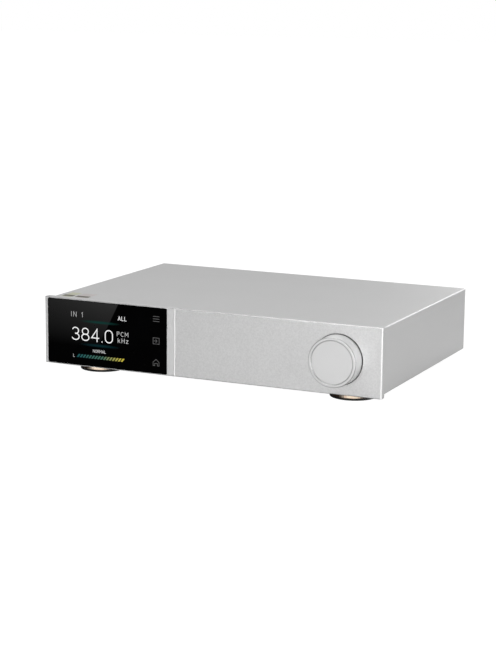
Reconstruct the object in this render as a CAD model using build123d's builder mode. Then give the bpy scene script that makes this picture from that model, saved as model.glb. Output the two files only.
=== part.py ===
from build123d import *
import os
from math import cos, radians, sin

# Desktop digital-to-analogue converter: a low aluminium case on four round feet, with a glass
# display and one turning and pressing knob on the front, and the audio sockets on the rear.
#
# Millimetres. +X is to the right seen from the front, the front faces -Y and +Z is up.
# The origin is on the rest plane, under the middle of the object.

os.makedirs("parts", exist_ok=True)

# ------------------------------------------------------------------ driving dimensions

plate_width = 222.0          # front panel
plate_height = 41.6
plate_thickness = 4.8
case_width = 219.0           # cover, seen from the front
case_depth = 155.0           # front face of the panel to the rear end of the cover
plate_rise = 0.9             # front panel above the cover
plate_drop = 1.0             # front panel below the cover
foot_drop = 5.5              # rest plane to the lower edge of the front panel
knob_projection = 10.1       # knob in front of the panel
socket_projection = 9.1      # phono sockets behind the cover

cover_top = 2.0              # wall thicknesses
cover_side = 2.2
sheet = 1.5
rear_sheet = 2.0
board = 1.6

slip = 0.1                   # gap around parts that are slid or dropped into place
snug = 0.02                  # gap around parts that are screwed together
running = 0.05               # gap around parts that turn or slide on each other

# ------------------------------------------------------------------ levels and depths

plate_front = -(case_depth + socket_projection - knob_projection) / 2
plate_back = plate_front + plate_thickness
case_back = plate_front + case_depth
panel_inner = case_back - rear_sheet
socket_end = case_back + socket_projection
knob_front = plate_front - knob_projection

plate_bottom = foot_drop
plate_top = plate_bottom + plate_height
plate_mid = plate_bottom + plate_height / 2
case_bottom = plate_bottom + plate_drop
case_top = plate_top - plate_rise
case_mid = (case_bottom + case_top) / 2
tray_top = case_bottom + sheet
ceiling = case_top - cover_top
inner_half = case_width / 2 - cover_side

standoff_height = 5.0
board_bottom = tray_top + standoff_height
board_top = board_bottom + board

# M3 screws are used throughout the case.
thread = 1.5
clearance_hole = 1.6
pan_head = 2.7
pan_height = 1.7
flat_head = 2.8
hex_socket = 1.1
socket_depth = 0.9


def facing(y):
    """Plane across the case at depth y. Sketches read x and z; extrusions run to the front."""
    return Plane.XZ.offset(-y)


def pan_screw(length):
    """Pan-head screw along +Z: the head sits below z = 0 and the shank ends at z = length."""
    with BuildPart() as screw:
        with BuildSketch(Plane.XZ):
            with BuildLine():
                Polyline((0, -pan_height), (pan_head - 0.5, -pan_height), (pan_head, -pan_height + 0.5),
                         (pan_head, 0), (thread, 0), (thread, length), (0, length), close=True)
            make_face()
        revolve(axis=Axis.Z)
        with BuildSketch(Plane.XY.offset(-pan_height)):
            RegularPolygon(radius=hex_socket, side_count=6)
        extrude(amount=socket_depth, mode=Mode.SUBTRACT)
    return screw.part


def flat_screw(radius, head, length):
    """Countersunk screw along +Z: the face of the head is at z = 0, the point at z = length."""
    with BuildPart() as screw:
        with BuildSketch(Plane.XZ):
            with BuildLine():
                Polyline((0, 0), (head, 0), (radius, head - radius), (radius, length), (0, length),
                         close=True)
            make_face()
        revolve(axis=Axis.Z)
        with BuildSketch(Plane.XY):
            RegularPolygon(radius=hex_socket, side_count=6)
        extrude(amount=socket_depth, mode=Mode.SUBTRACT)
    return screw.part


# ------------------------------------------------------------------ front panel
# A milled plate. The left part, a land around the display, stands slightly proud of the rest.

land_proud = 0.25
land_right = -21.0
edge_chamfer = 0.45
end_chamfer = 0.6
land_front = plate_front - land_proud
left_end = -plate_width / 2
right_end = plate_width / 2

glass_left = -109.0
glass_right = -26.4
glass_margin = 0.6
glass_thickness = 1.1
glass_corner = 1.0
glass_width = glass_right - glass_left
glass_height = plate_height - 2 * glass_margin
glass_x = (glass_left + glass_right) / 2
pocket_floor = land_front + glass_thickness + running
pocket_gap = 0.1

lcd_x = -72.7
lcd_z = plate_bottom + 20.1
lcd_width = 51.2
lcd_height = 35.8
lcd_thickness = 2.1
touch_x = -33.6
touch_z = plate_bottom + 20.6
touch_width = 12.0
touch_height = 34.0
touch_thickness = 1.0
window_gap = 0.4

knob_x = 84.1
knob_z = plate_mid
knob_radius = 14.75
recess_radius = 15.35
recess_depth = 1.2
recess_floor = plate_front + recess_depth
bushing_radius = 3.5

flange_screw_points = [(x, z) for x in (-103.2, 103.2) for z in (17.0, 34.0)]
flange_screw_points += [(-12.0, 14.0), (-12.0, 38.0), (50.0, 14.0), (50.0, 38.0)]
control_screw_points = [(-43.3, 17.5), (-43.3, 35.5)]
blind_depth = 2.8

with BuildPart() as display_land:
    with BuildSketch(facing(plate_back)):
        with Locations(((left_end + land_right) / 2, plate_mid)):
            Rectangle(land_right - left_end, plate_height)
    extrude(amount=plate_back - land_front)
    outline = display_land.faces().sort_by(Axis.Y)[0].edges()
    chamfer(outline.filter_by(Axis.X), edge_chamfer)
    outline = display_land.faces().sort_by(Axis.Y)[0].edges().filter_by(Axis.Z)
    chamfer(outline.sort_by(Axis.X)[0], end_chamfer)
    outline = display_land.faces().sort_by(Axis.Y)[0].edges().filter_by(Axis.Z)
    chamfer(outline.sort_by(Axis.X)[-1], land_proud)

with BuildPart() as knob_side:
    with BuildSketch(facing(plate_back)):
        with Locations(((right_end + land_right) / 2, plate_mid)):
            Rectangle(right_end - land_right, plate_height)
    extrude(amount=plate_thickness)
    outline = knob_side.faces().sort_by(Axis.Y)[0].edges()
    chamfer(outline.filter_by(Axis.X), edge_chamfer)
    outline = knob_side.faces().sort_by(Axis.Y)[0].edges().filter_by(Axis.Z)
    chamfer(outline.sort_by(Axis.X)[-1], end_chamfer)

with BuildPart() as front_panel:
    add(display_land.part)
    add(knob_side.part)
    # Pocket for the glass, then the two windows behind it.
    with BuildSketch(facing(pocket_floor)):
        with Locations((glass_x, plate_mid)):
            RectangleRounded(glass_width + pocket_gap, glass_height + pocket_gap, glass_corner)
    extrude(amount=plate_thickness, mode=Mode.SUBTRACT)
    with BuildSketch(facing(plate_back)):
        with Locations((lcd_x, lcd_z)):
            Rectangle(lcd_width + window_gap, lcd_height + window_gap)
        with Locations((touch_x, touch_z)):
            Rectangle(touch_width + window_gap, touch_height + window_gap)
    extrude(amount=plate_thickness, mode=Mode.SUBTRACT)
    # Shallow round recess that the knob sits in, and the hole for the encoder's bushing.
    with BuildSketch(facing(recess_floor)):
        with Locations((knob_x, knob_z)):
            Circle(recess_radius)
    extrude(amount=plate_thickness, mode=Mode.SUBTRACT)
    with BuildSketch(facing(plate_back)):
        with Locations((knob_x, knob_z)):
            Circle(bushing_radius + slip)
    extrude(amount=plate_thickness, mode=Mode.SUBTRACT)
    # Blind tapped holes in the back.
    with BuildSketch(facing(plate_back)):
        with Locations(*flange_screw_points, *control_screw_points):
            Circle(thread + snug)
    extrude(amount=blind_depth, mode=Mode.SUBTRACT)
front_panel.part.label = "front_panel"
export_step(front_panel.part, "parts/front_panel.step")

with BuildPart() as display_glass:
    with BuildSketch(facing(land_front + glass_thickness)):
        with Locations((glass_x, plate_mid)):
            RectangleRounded(glass_width, glass_height, glass_corner)
    extrude(amount=glass_thickness)
    chamfer(display_glass.faces().sort_by(Axis.Y)[0].edges(), 0.12)
display_glass.part.label = "display_glass"
export_step(display_glass.part, "parts/display_glass.step")

# ------------------------------------------------------------------ display and touch keys

lcd_front = pocket_floor
lcd_back = lcd_front + lcd_thickness
control_front = plate_back + running
control_back = control_front + board
control_left = -96.0
control_right = -26.0
control_bottom = 12.0
control_top = 41.0
screw_tip = blind_depth - 0.3

with BuildPart() as lcd_module:
    with BuildSketch(facing(lcd_back)):
        with Locations((lcd_x, lcd_z)):
            Rectangle(lcd_width, lcd_height)
    extrude(amount=lcd_thickness)
lcd_module.part.label = "lcd_module"
export_step(lcd_module.part, "parts/lcd_module.step")

with BuildPart() as touch_board:
    with BuildSketch(facing(lcd_front + touch_thickness)):
        with Locations((touch_x, touch_z)):
            Rectangle(touch_width, touch_height)
    extrude(amount=touch_thickness)
touch_board.part.label = "touch_board"
export_step(touch_board.part, "parts/touch_board.step")

with BuildPart() as control_board:
    with BuildSketch(facing(control_back)):
        with Locations(((control_left + control_right) / 2, (control_bottom + control_top) / 2)):
            Rectangle(control_right - control_left, control_top - control_bottom)
        with Locations(*control_screw_points):
            Circle(clearance_hole, mode=Mode.SUBTRACT)
    extrude(amount=board)
control_board.part.label = "control_board"
export_step(control_board.part, "parts/control_board.step")

ribbon_x = -30.0
ribbon_width = 6.0
header_depth = 2.4
header_height = 4.0
display_ribbon_z = 22.0
encoder_ribbon_drop = 8.5    # below the knob's axis

# ------------------------------------------------------------------ encoder and knob
# The shaft turns in the bushing and slides back a little to press the encoder's switch.

press_travel = 0.5
encoder_width = 12.4
encoder_height = 13.2
bushing_plate = 1.2
bushing_back = plate_back + running + bushing_plate
bushing_end = plate_back - 7.0
shaft_radius = 3.0
shaft_flat = 1.5             # distance from the axis to the flat
shaft_end = knob_front + 2.3
collar_radius = 4.2
collar_front = bushing_back + slip
collar_thickness = 0.8
shaft_tail = collar_front + collar_thickness + 1.1
encoder_depth = 5.5
encoder_back = bushing_back + encoder_depth
encoder_floor = 1.0
plunger_front = shaft_tail + running
plunger_back = encoder_back - encoder_floor - press_travel - running
plunger_radius = 2.0

knob_back = recess_floor - press_travel - 0.2
nut_cavity_radius = 8.0
nut_cavity_end = bushing_end - press_travel - 0.5
knob_bore_end = shaft_end - 0.4
rim_width = 2.0
rim_depth = 0.4
set_screw_y = (shaft_end + nut_cavity_end) / 2
set_screw_length = 5.0

washer_thickness = 0.5
nut_thickness = 2.0
nut_across = 10.0

with BuildPart() as encoder_bushing:
    with BuildSketch(facing(bushing_back)):
        with Locations((knob_x, knob_z)):
            Rectangle(encoder_width, encoder_height)
    extrude(amount=bushing_plate)
    with BuildSketch(facing(bushing_back)):
        with Locations((knob_x, knob_z)):
            Circle(bushing_radius)
    extrude(amount=bushing_back - bushing_end)
    chamfer(encoder_bushing.faces().sort_by(Axis.Y)[0].edges(), 0.3)
    with BuildSketch(facing(bushing_back)):
        with Locations((knob_x, knob_z)):
            Circle(shaft_radius + running)
    extrude(amount=bushing_back - bushing_end, mode=Mode.SUBTRACT)
encoder_bushing.part.label = "encoder_bushing"
export_step(encoder_bushing.part, "parts/encoder_bushing.step")

with BuildPart() as encoder_body:
    with BuildSketch(facing(encoder_back)):
        with Locations((knob_x, knob_z)):
            Rectangle(encoder_width, encoder_height)
    extrude(amount=encoder_depth)
    with BuildSketch(facing(encoder_back - encoder_floor)):
        with Locations((knob_x, knob_z)):
            Circle(collar_radius + 0.3)
    extrude(amount=encoder_depth, mode=Mode.SUBTRACT)
encoder_body.part.label = "encoder_body"
export_step(encoder_body.part, "parts/encoder_body.step")

with BuildPart() as encoder_plunger:
    with BuildSketch(facing(plunger_back)):
        with Locations((knob_x, knob_z)):
            Circle(plunger_radius)
    extrude(amount=plunger_back - plunger_front)
encoder_plunger.part.label = "encoder_plunger"
export_step(encoder_plunger.part, "parts/encoder_plunger.step")

with BuildPart() as encoder_shaft:
    with BuildSketch(facing(shaft_tail)):
        with Locations((knob_x, knob_z)):
            Circle(shaft_radius)
    extrude(amount=shaft_tail - shaft_end)
    with BuildSketch(facing(collar_front + collar_thickness)):
        with Locations((knob_x, knob_z)):
            Circle(collar_radius)
    extrude(amount=collar_thickness)
    # The flat that the knob's set screw bears on.
    with BuildSketch(facing(bushing_end - press_travel)):
        with Locations((knob_x, knob_z - shaft_flat - shaft_radius)):
            Rectangle(3 * shaft_radius, 2 * shaft_radius)
    extrude(amount=shaft_radius * 4, mode=Mode.SUBTRACT)
encoder_shaft.part.label = "encoder_shaft"
export_step(encoder_shaft.part, "parts/encoder_shaft.step")

with BuildPart() as encoder_washer:
    with BuildSketch(facing(recess_floor)):
        with Locations((knob_x, knob_z)):
            Circle(6.2)
            Circle(bushing_radius + slip, mode=Mode.SUBTRACT)
    extrude(amount=washer_thickness)
encoder_washer.part.label = "encoder_washer"
export_step(encoder_washer.part, "parts/encoder_washer.step")

with BuildPart() as encoder_nut:
    with BuildSketch(facing(recess_floor - washer_thickness)):
        with Locations((knob_x, knob_z)):
            RegularPolygon(radius=nut_across / 2, side_count=6, major_radius=False)
            Circle(bushing_radius + snug, mode=Mode.SUBTRACT)
    extrude(amount=nut_thickness)
encoder_nut.part.label = "encoder_nut"
export_step(encoder_nut.part, "parts/encoder_nut.step")

with BuildPart() as volume_knob:
    # Half section, turned about the knob's axis: a rounded rim around a shallow dished face.
    with BuildSketch(Plane.XY.offset(knob_z)):
        with BuildLine():
            Polyline((knob_x, knob_back), (knob_x + knob_radius - 0.3, knob_back),
                     (knob_x + knob_radius, knob_back - 0.3), (knob_x + knob_radius, knob_front + 0.7))
            RadiusArc((knob_x + knob_radius, knob_front + 0.7),
                      (knob_x + knob_radius - 0.7, knob_front), 0.7)
            Polyline((knob_x + knob_radius - 0.7, knob_front),
                     (knob_x + knob_radius - rim_width + rim_depth, knob_front),
                     (knob_x + knob_radius - rim_width, knob_front + rim_depth),
                     (knob_x, knob_front + rim_depth), (knob_x, knob_back))
        make_face()
    revolve(axis=Axis((knob_x, 0, knob_z), (0, 1, 0)))
    # Room for the encoder's nut, then the bore for the shaft with its flat.
    with BuildSketch(facing(knob_back)):
        with Locations((knob_x, knob_z)):
            Circle(nut_cavity_radius)
    extrude(amount=knob_back - nut_cavity_end, mode=Mode.SUBTRACT)
    with BuildSketch(facing(nut_cavity_end)):
        with Locations((knob_x, knob_z)):
            Circle(shaft_radius + snug)
        with Locations((knob_x, knob_z - shaft_flat - shaft_radius - snug)):
            Rectangle(3 * shaft_radius, 2 * shaft_radius, mode=Mode.SUBTRACT)
    extrude(amount=nut_cavity_end - knob_bore_end, mode=Mode.SUBTRACT)
    # Tapped hole for the set screw, on the underside.
    with BuildSketch(Plane.XY.offset(knob_z - knob_radius)):
        with Locations((knob_x, set_screw_y)):
            Circle(thread + snug)
    extrude(amount=knob_radius - shaft_flat, mode=Mode.SUBTRACT)
volume_knob.part.label = "volume_knob"
export_step(volume_knob.part, "parts/volume_knob.step")

with BuildPart() as knob_set_screw:
    with BuildSketch(Plane.XY.offset(knob_z - shaft_flat - snug - set_screw_length)):
        with Locations((knob_x, set_screw_y)):
            Circle(thread)
    extrude(amount=set_screw_length)
    with BuildSketch(Plane.XY.offset(knob_z - shaft_flat - snug - set_screw_length)):
        with Locations((knob_x, set_screw_y)):
            RegularPolygon(radius=0.85, side_count=6)
    extrude(amount=1.6, mode=Mode.SUBTRACT)
knob_set_screw.part.label = "knob_set_screw"
export_step(knob_set_screw.part, "parts/knob_set_screw.step")

with BuildPart() as encoder_board:
    with BuildSketch(facing(encoder_back + board)):
        with Locations((knob_x, knob_z)):
            Rectangle(24.0, 23.0)
    extrude(amount=board)
encoder_board.part.label = "encoder_board"
export_step(encoder_board.part, "parts/encoder_board.step")

# ------------------------------------------------------------------ cover
# An extruded channel, open below, with a ledge and a screw boss inside each side.

cover_chamfer = 0.5
ledge_width = 6.5
ledge_height = 4.8
boss_width = 6.1
boss_height = 6.2
inside_front = plate_back + sheet + slip
corner_screw_x = 104.2
corner_screw_z = (10.4, 41.0)
corner_points = [(x, z) for x in (-corner_screw_x, corner_screw_x) for z in corner_screw_z]
base_screw_y = (-60.0, 0.0, 58.0)
base_points = [(x, y) for x in (-corner_screw_x, corner_screw_x) for y in base_screw_y]
screw_hole_depth = 8.0

with BuildPart() as top_cover:
    with BuildSketch(facing(case_back)) as channel:
        with Locations((0, case_mid)):
            Rectangle(case_width, case_top - case_bottom)
        chamfer(channel.vertices().group_by(Axis.Z)[-1], cover_chamfer)
        with Locations((0, (case_bottom - 1 + ceiling) / 2)):
            Rectangle(2 * inner_half, ceiling - case_bottom + 1, mode=Mode.SUBTRACT)
    extrude(amount=case_back - plate_back)
    with BuildSketch(facing(panel_inner)):
        for side in (-1, 1):
            with Locations((side * (inner_half - ledge_width / 2 + 0.05), tray_top + ledge_height / 2)):
                Rectangle(ledge_width + slip, ledge_height)
            with Locations((side * (inner_half - boss_width / 2 + 0.05), ceiling - boss_height / 2 + 0.05)):
                Rectangle(boss_width + slip, boss_height + slip)
    extrude(amount=panel_inner - inside_front)
    with BuildSketch(facing(panel_inner)):
        with Locations(*corner_points):
            Circle(thread + snug)
    extrude(amount=screw_hole_depth, mode=Mode.SUBTRACT)
    with BuildSketch(Plane.XY.offset(tray_top)):
        with Locations(*base_points):
            Circle(thread + snug)
    extrude(amount=ledge_height - 0.8, mode=Mode.SUBTRACT)
top_cover.part.label = "top_cover"
export_step(top_cover.part, "parts/top_cover.step")

# ------------------------------------------------------------------ base tray
# Bent sheet: the floor, and a flange at the front that carries the front panel.

tray_half = inner_half - slip
tray_back = case_back - slip
flange_top = ceiling - 0.2
foot_x = 84.3
foot_front_y = plate_front + 25.0
foot_rear_y = case_back - 25.0
foot_points = [(x, y) for x in (-foot_x, foot_x) for y in (foot_front_y, foot_rear_y)]
transformer_x = -66.0
transformer_y = -18.0
bolt_radius = 2.0
bolt_head = 3.4
opening_left = -99.5
opening_right = -22.0
opening_bottom = 10.8
opening_top = 42.0

with BuildPart() as base_tray:
    with BuildSketch(Plane.YZ.offset(-tray_half)) as bend:
        with BuildLine():
            Polyline((plate_back, case_bottom), (tray_back, case_bottom), (tray_back, tray_top),
                     (plate_back + sheet, tray_top), (plate_back + sheet, flange_top),
                     (plate_back, flange_top), close=True)
        make_face()
        outer_corner = bend.vertices().sort_by_distance((0, plate_back, case_bottom))[0]
        fillet(outer_corner, sheet)
    extrude(amount=2 * tray_half)
    # Openings in the flange for the display and the encoder, and its screw holes.
    with BuildSketch(facing(plate_back + sheet)):
        with Locations(((opening_left + opening_right) / 2, (opening_bottom + opening_top) / 2)):
            Rectangle(opening_right - opening_left, opening_top - opening_bottom)
        with Locations((knob_x, knob_z)):
            Rectangle(18.0, 18.0)
        with Locations(*flange_screw_points):
            Circle(clearance_hole)
    extrude(amount=sheet, mode=Mode.SUBTRACT)
    # Countersunk holes below for the cover's screws and the transformer's bolt.
    with Locations(*[Location((x, y, case_bottom), (180, 0, 0)) for x, y in base_points]):
        CounterSinkHole(clearance_hole, flat_head + slip, depth=sheet, counter_sink_angle=90)
    with Locations(Location((transformer_x, transformer_y, case_bottom), (180, 0, 0))):
        CounterSinkHole(bolt_radius + slip, bolt_head + slip, depth=sheet, counter_sink_angle=90)
    # Holes for the feet and slots that let cool air in under the boards.
    with BuildSketch(Plane.XY.offset(case_bottom)):
        with Locations(*foot_points):
            Circle(clearance_hole)
        with Locations((34.0, -10.0)):
            with GridLocations(19.0, 5.0, 5, 8):
                SlotOverall(15.0, 2.0)
    extrude(amount=sheet, mode=Mode.SUBTRACT)
base_tray.part.label = "base_tray"
export_step(base_tray.part, "parts/base_tray.step")

base_screw = flat_screw(thread, flat_head, 5.0)
with BuildPart() as base_screws:
    with Locations(*[Location((x, y, case_bottom)) for x, y in base_points]):
        add(base_screw)
base_screws.part.label = "base_screws"
export_step(base_screws.part, "parts/base_screws.step")

flange_screw = pan_screw(sheet + screw_tip)
control_screw = pan_screw(board + running + screw_tip)
with BuildPart() as front_panel_screws:
    # Eight hold the tray's flange to the panel, two hold the control board.
    with Locations(*[Location((x, plate_back + sheet, z), (90, 0, 0)) for x, z in flange_screw_points]):
        add(flange_screw)
    with Locations(*[Location((x, control_back, z), (90, 0, 0)) for x, z in control_screw_points]):
        add(control_screw)
front_panel_screws.part.label = "front_panel_screws"
export_step(front_panel_screws.part, "parts/front_panel_screws.step")

# ------------------------------------------------------------------ feet
# A turned and plated ring with a rubber pad let into it, screwed to the tray from below.

foot_radius = 14.1
pad_plug_radius = 12.4       # part of the pad held inside the ring
pad_seat = 2.6               # height of the pad's seat above the rest plane
ring_bottom = 1.2
foot_counterbore = 3.1
foot_shoulder = 4.6
nut_height = 2.4
nut_flats = 5.5


with BuildPart() as foot_ring:
    with BuildSketch(Plane.XZ):
        with BuildLine():
            Polyline((clearance_hole, case_bottom), (foot_radius - 0.6, case_bottom),
                     (foot_radius, case_bottom - 0.6), (foot_radius, ring_bottom + 0.2),
                     (foot_radius - 0.2, ring_bottom), (pad_plug_radius + slip, ring_bottom),
                     (pad_plug_radius + slip, pad_seat), (foot_counterbore, pad_seat),
                     (foot_counterbore, foot_shoulder), (clearance_hole, foot_shoulder), close=True)
        make_face()
    revolve(axis=Axis.Z)

with BuildPart() as foot_rings:
    with Locations(*foot_points):
        add(foot_ring.part)
foot_rings.part.label = "foot_rings"
export_step(foot_rings.part, "parts/foot_rings.step")

with BuildPart() as foot_pads:
    # Each pad covers the ring's lower edge and has a plug that sits inside the ring.
    with BuildSketch(Plane.XY):
        with Locations(*foot_points):
            Circle(foot_radius)
    extrude(amount=ring_bottom)
    chamfer(foot_pads.faces().filter_by(Axis.Z).group_by(Axis.Z)[0].edges(), 0.2)
    with BuildSketch(Plane.XY):
        with Locations(*foot_points):
            Circle(pad_plug_radius)
    extrude(amount=pad_seat)
foot_pads.part.label = "foot_pads"
export_step(foot_pads.part, "parts/foot_pads.step")

foot_screw = pan_screw(tray_top + nut_height + 0.2 - foot_shoulder)
with BuildPart() as foot_screws:
    with Locations(*[Location((x, y, foot_shoulder)) for x, y in foot_points]):
        add(foot_screw)
foot_screws.part.label = "foot_screws"
export_step(foot_screws.part, "parts/foot_screws.step")

with BuildPart() as foot_nuts:
    with BuildSketch(Plane.XY.offset(tray_top)):
        with Locations(*foot_points):
            RegularPolygon(radius=nut_flats / 2, side_count=6, major_radius=False)
            Circle(thread + snug, mode=Mode.SUBTRACT)
    extrude(amount=nut_height)
foot_nuts.part.label = "foot_nuts"
export_step(foot_nuts.part, "parts/foot_nuts.step")

# ------------------------------------------------------------------ rear panel layout
# Centres of the rear sockets, in x and z.

mains_x = -85.0
switch_x = -58.0
upper_row = 35.0
trigger_xs = (-43.5, -32.5)
usb_x = -38.0
optical_x = -22.0
link_x = -6.0
xlr_input_x = 18.0
phono_x = 38.0
phono_zs = (19.5, 34.5)
xlr_output_xs = (58.5, 86.0)

phono_points = [(phono_x, z) for z in phono_zs] + [(optical_x, upper_row)]
antenna_point = (link_x, upper_row)
trigger_points = [(x, upper_row) for x in trigger_xs]
xlr_points = [(x, case_mid) for x in (xlr_input_x, *xlr_output_xs)]

mains_width = 27.0
mains_height = 19.5
switch_width = 13.0
switch_height = 19.0
usb_width = 12.0
usb_height = 10.8
optical_size = 9.7
link_width = 15.0
link_height = 6.0
xlr_body_radius = 11.6
xlr_screw_offset = (9.5, 12.0)
phono_body_radius = 4.4
antenna_radius = 3.5
trigger_radius = 3.0
latch_width = 8.0
latch_height = 3.2
latch_z = case_mid + 12.2
latch_wall = 1.0

xlr_screw_points = []
for x, z in xlr_points:
    xlr_screw_points.append((x - xlr_screw_offset[0], z + xlr_screw_offset[1]))
    xlr_screw_points.append((x + xlr_screw_offset[0], z - xlr_screw_offset[1]))

with BuildPart() as rear_panel:
    with BuildSketch(facing(case_back)):
        with Locations((0, (tray_top + ceiling) / 2)):
            Rectangle(2 * inner_half - 2 * slip, ceiling - tray_top - 2 * slip)
        with Locations(*corner_points, *xlr_screw_points):
            Circle(clearance_hole, mode=Mode.SUBTRACT)
        with Locations((mains_x, case_mid)):
            Rectangle(mains_width + slip, mains_height + slip, mode=Mode.SUBTRACT)
        with Locations((switch_x, case_mid)):
            Rectangle(switch_width + slip, switch_height + slip, mode=Mode.SUBTRACT)
        with Locations((usb_x, board_top + usb_height / 2)):
            Rectangle(usb_width + 2 * slip, usb_height + 2 * slip, mode=Mode.SUBTRACT)
        with Locations((optical_x, board_top + optical_size / 2)):
            Rectangle(optical_size + 2 * slip, optical_size + 2 * slip, mode=Mode.SUBTRACT)
        with Locations((link_x, board_top + link_height / 2)):
            Rectangle(link_width + 2 * slip, link_height + 2 * slip, mode=Mode.SUBTRACT)
        with Locations(*xlr_points):
            Circle(xlr_body_radius + slip, mode=Mode.SUBTRACT)
        with Locations((xlr_input_x, latch_z)):
            Rectangle(latch_width + 2 * latch_wall + 2 * slip, latch_height + 2 * latch_wall + 2 * slip,
                      mode=Mode.SUBTRACT)
        with Locations(*phono_points):
            Circle(phono_body_radius + slip, mode=Mode.SUBTRACT)
        with Locations(antenna_point):
            Circle(antenna_radius + slip, mode=Mode.SUBTRACT)
        with Locations(*trigger_points):
            Circle(trigger_radius + slip, mode=Mode.SUBTRACT)
    extrude(amount=rear_sheet)
rear_panel.part.label = "rear_panel"
export_step(rear_panel.part, "parts/rear_panel.step")

rear_panel_screw = pan_screw(rear_sheet + 6.0)
with BuildPart() as rear_panel_screws:
    with Locations(*[Location((x, case_back, z), (90, 0, 0)) for x, z in corner_points]):
        add(rear_panel_screw)
rear_panel_screws.part.label = "rear_panel_screws"
export_step(rear_panel_screws.part, "parts/rear_panel_screws.step")

# ------------------------------------------------------------------ mains inlet and power switch

bezel = 2.2                  # thickness of the moulded flanges outside the rear panel
flange_face = case_back + bezel
inlet_front = flange_face
inlet_back = case_back - 18.0
inlet_floor = inlet_front - 15.5
inlet_wall = 1.6
blade = (2.0, 4.0)           # width and height of a mains blade
blade_end = inlet_front - 2.5
blade_tab = inlet_back - 5.0
blade_points = [(-7.0, -1.8), (0.0, 2.2), (7.0, -1.8)]

with BuildPart() as mains_inlet:
    with BuildSketch(facing(flange_face)):
        with Locations((mains_x, case_mid)):
            RectangleRounded(30.7, 23.8, 2.0)
    extrude(amount=bezel)
    with BuildSketch(facing(case_back)):
        with Locations((mains_x, case_mid)):
            Rectangle(mains_width, mains_height)
    extrude(amount=case_back - inlet_back)
    # Cavity for the plug, with its two slanted lower corners.
    with BuildSketch(facing(inlet_front)) as mouth:
        with Locations((mains_x, case_mid)):
            Rectangle(mains_width - 2 * inlet_wall, mains_height - 2 * inlet_wall)
        chamfer(mouth.vertices().group_by(Axis.Z)[0], 4.0)
    extrude(amount=inlet_front - inlet_floor, mode=Mode.SUBTRACT)
    with BuildSketch(facing(inlet_floor)):
        for dx, dz in blade_points:
            with Locations((mains_x + dx, case_mid + dz)):
                Rectangle(*blade)
    extrude(amount=inlet_floor - inlet_back, mode=Mode.SUBTRACT)
mains_inlet.part.label = "mains_inlet"
export_step(mains_inlet.part, "parts/mains_inlet.step")

with BuildPart() as mains_blades:
    with BuildSketch(facing(blade_end)):
        for dx, dz in blade_points:
            with Locations((mains_x + dx, case_mid + dz)):
                Rectangle(*blade)
    extrude(amount=blade_end - blade_tab)
mains_blades.part.label = "mains_blades"
export_step(mains_blades.part, "parts/mains_blades.step")

rocker_axis_y = case_back - 0.5
rocker_half = 7.7            # height of the rocker from its axis to either end
rocker_width = 10.2
rocker_throw = 10.0          # degrees to either side of level
rocker_end = 2.4             # how far each end stands in front of the axis when level
rocker_waist = 1.2
rocker_room = 0.25
stub_radius = 1.0
stub_reach = 0.7
switch_back = case_back - 14.0
switch_tab_length = 5.0
switch_tabs = (-6.0, 6.0)

with BuildPart() as power_switch_body:
    with BuildSketch(facing(flange_face)):
        with Locations((switch_x, case_mid)):
            RectangleRounded(15.0, 21.0, 1.2)
    extrude(amount=bezel)
    chamfer(power_switch_body.faces().sort_by(Axis.Y)[-1].edges(), 0.4)
    with BuildSketch(facing(case_back)):
        with Locations((switch_x, case_mid)):
            Rectangle(switch_width, switch_height)
    extrude(amount=case_back - switch_back)
    # Mouth for the rocker and the round trough it swings in.
    with BuildSketch(facing(flange_face)):
        with Locations((switch_x, case_mid)):
            Rectangle(rocker_width + 2 * rocker_room, 2 * rocker_half + 4 * rocker_room)
    extrude(amount=flange_face - rocker_axis_y, mode=Mode.SUBTRACT)
    with BuildSketch(Plane.YZ.offset(switch_x - rocker_width / 2 - rocker_room)):
        with Locations((rocker_axis_y, case_mid)):
            Circle(rocker_half + rocker_room)
    extrude(amount=rocker_width + 2 * rocker_room, mode=Mode.SUBTRACT)
    with BuildSketch(Plane.YZ.offset(switch_x - rocker_width / 2 - stub_reach - running)):
        with Locations((rocker_axis_y, case_mid)):
            Circle(stub_radius + running)
    extrude(amount=rocker_width + 2 * stub_reach + 2 * running, mode=Mode.SUBTRACT)
    with BuildSketch(facing(switch_back)):
        for dz in switch_tabs:
            with Locations((switch_x, case_mid + dz)):
                Rectangle(4.8, 0.8)
    extrude(amount=switch_tab_length)
power_switch_body.part.label = "power_switch_body"
export_step(power_switch_body.part, "parts/power_switch_body.step")

# The rocker rests in its "on" position, tipped with its upper end pushed in.
rocker_angle = radians(rocker_throw)
rocker_frame = Plane(origin=(switch_x - rocker_width / 2, rocker_axis_y, case_mid),
                     x_dir=(0, cos(rocker_angle), sin(rocker_angle)), z_dir=(1, 0, 0))
with BuildPart() as power_rocker:
    with BuildSketch(rocker_frame):
        with BuildLine():
            Polyline((0, -rocker_half), (rocker_end, -rocker_half), (rocker_waist, 0),
                     (rocker_end, rocker_half), (0, rocker_half))
            ThreePointArc((0, rocker_half), (-rocker_half, 0), (0, -rocker_half))
        make_face()
    extrude(amount=rocker_width)
    with BuildSketch(rocker_frame.offset(-stub_reach)):
        Circle(stub_radius)
    extrude(amount=rocker_width + 2 * stub_reach)
power_rocker.part.label = "power_rocker"
export_step(power_rocker.part, "parts/power_rocker.step")

# ------------------------------------------------------------------ XLR sockets

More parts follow.
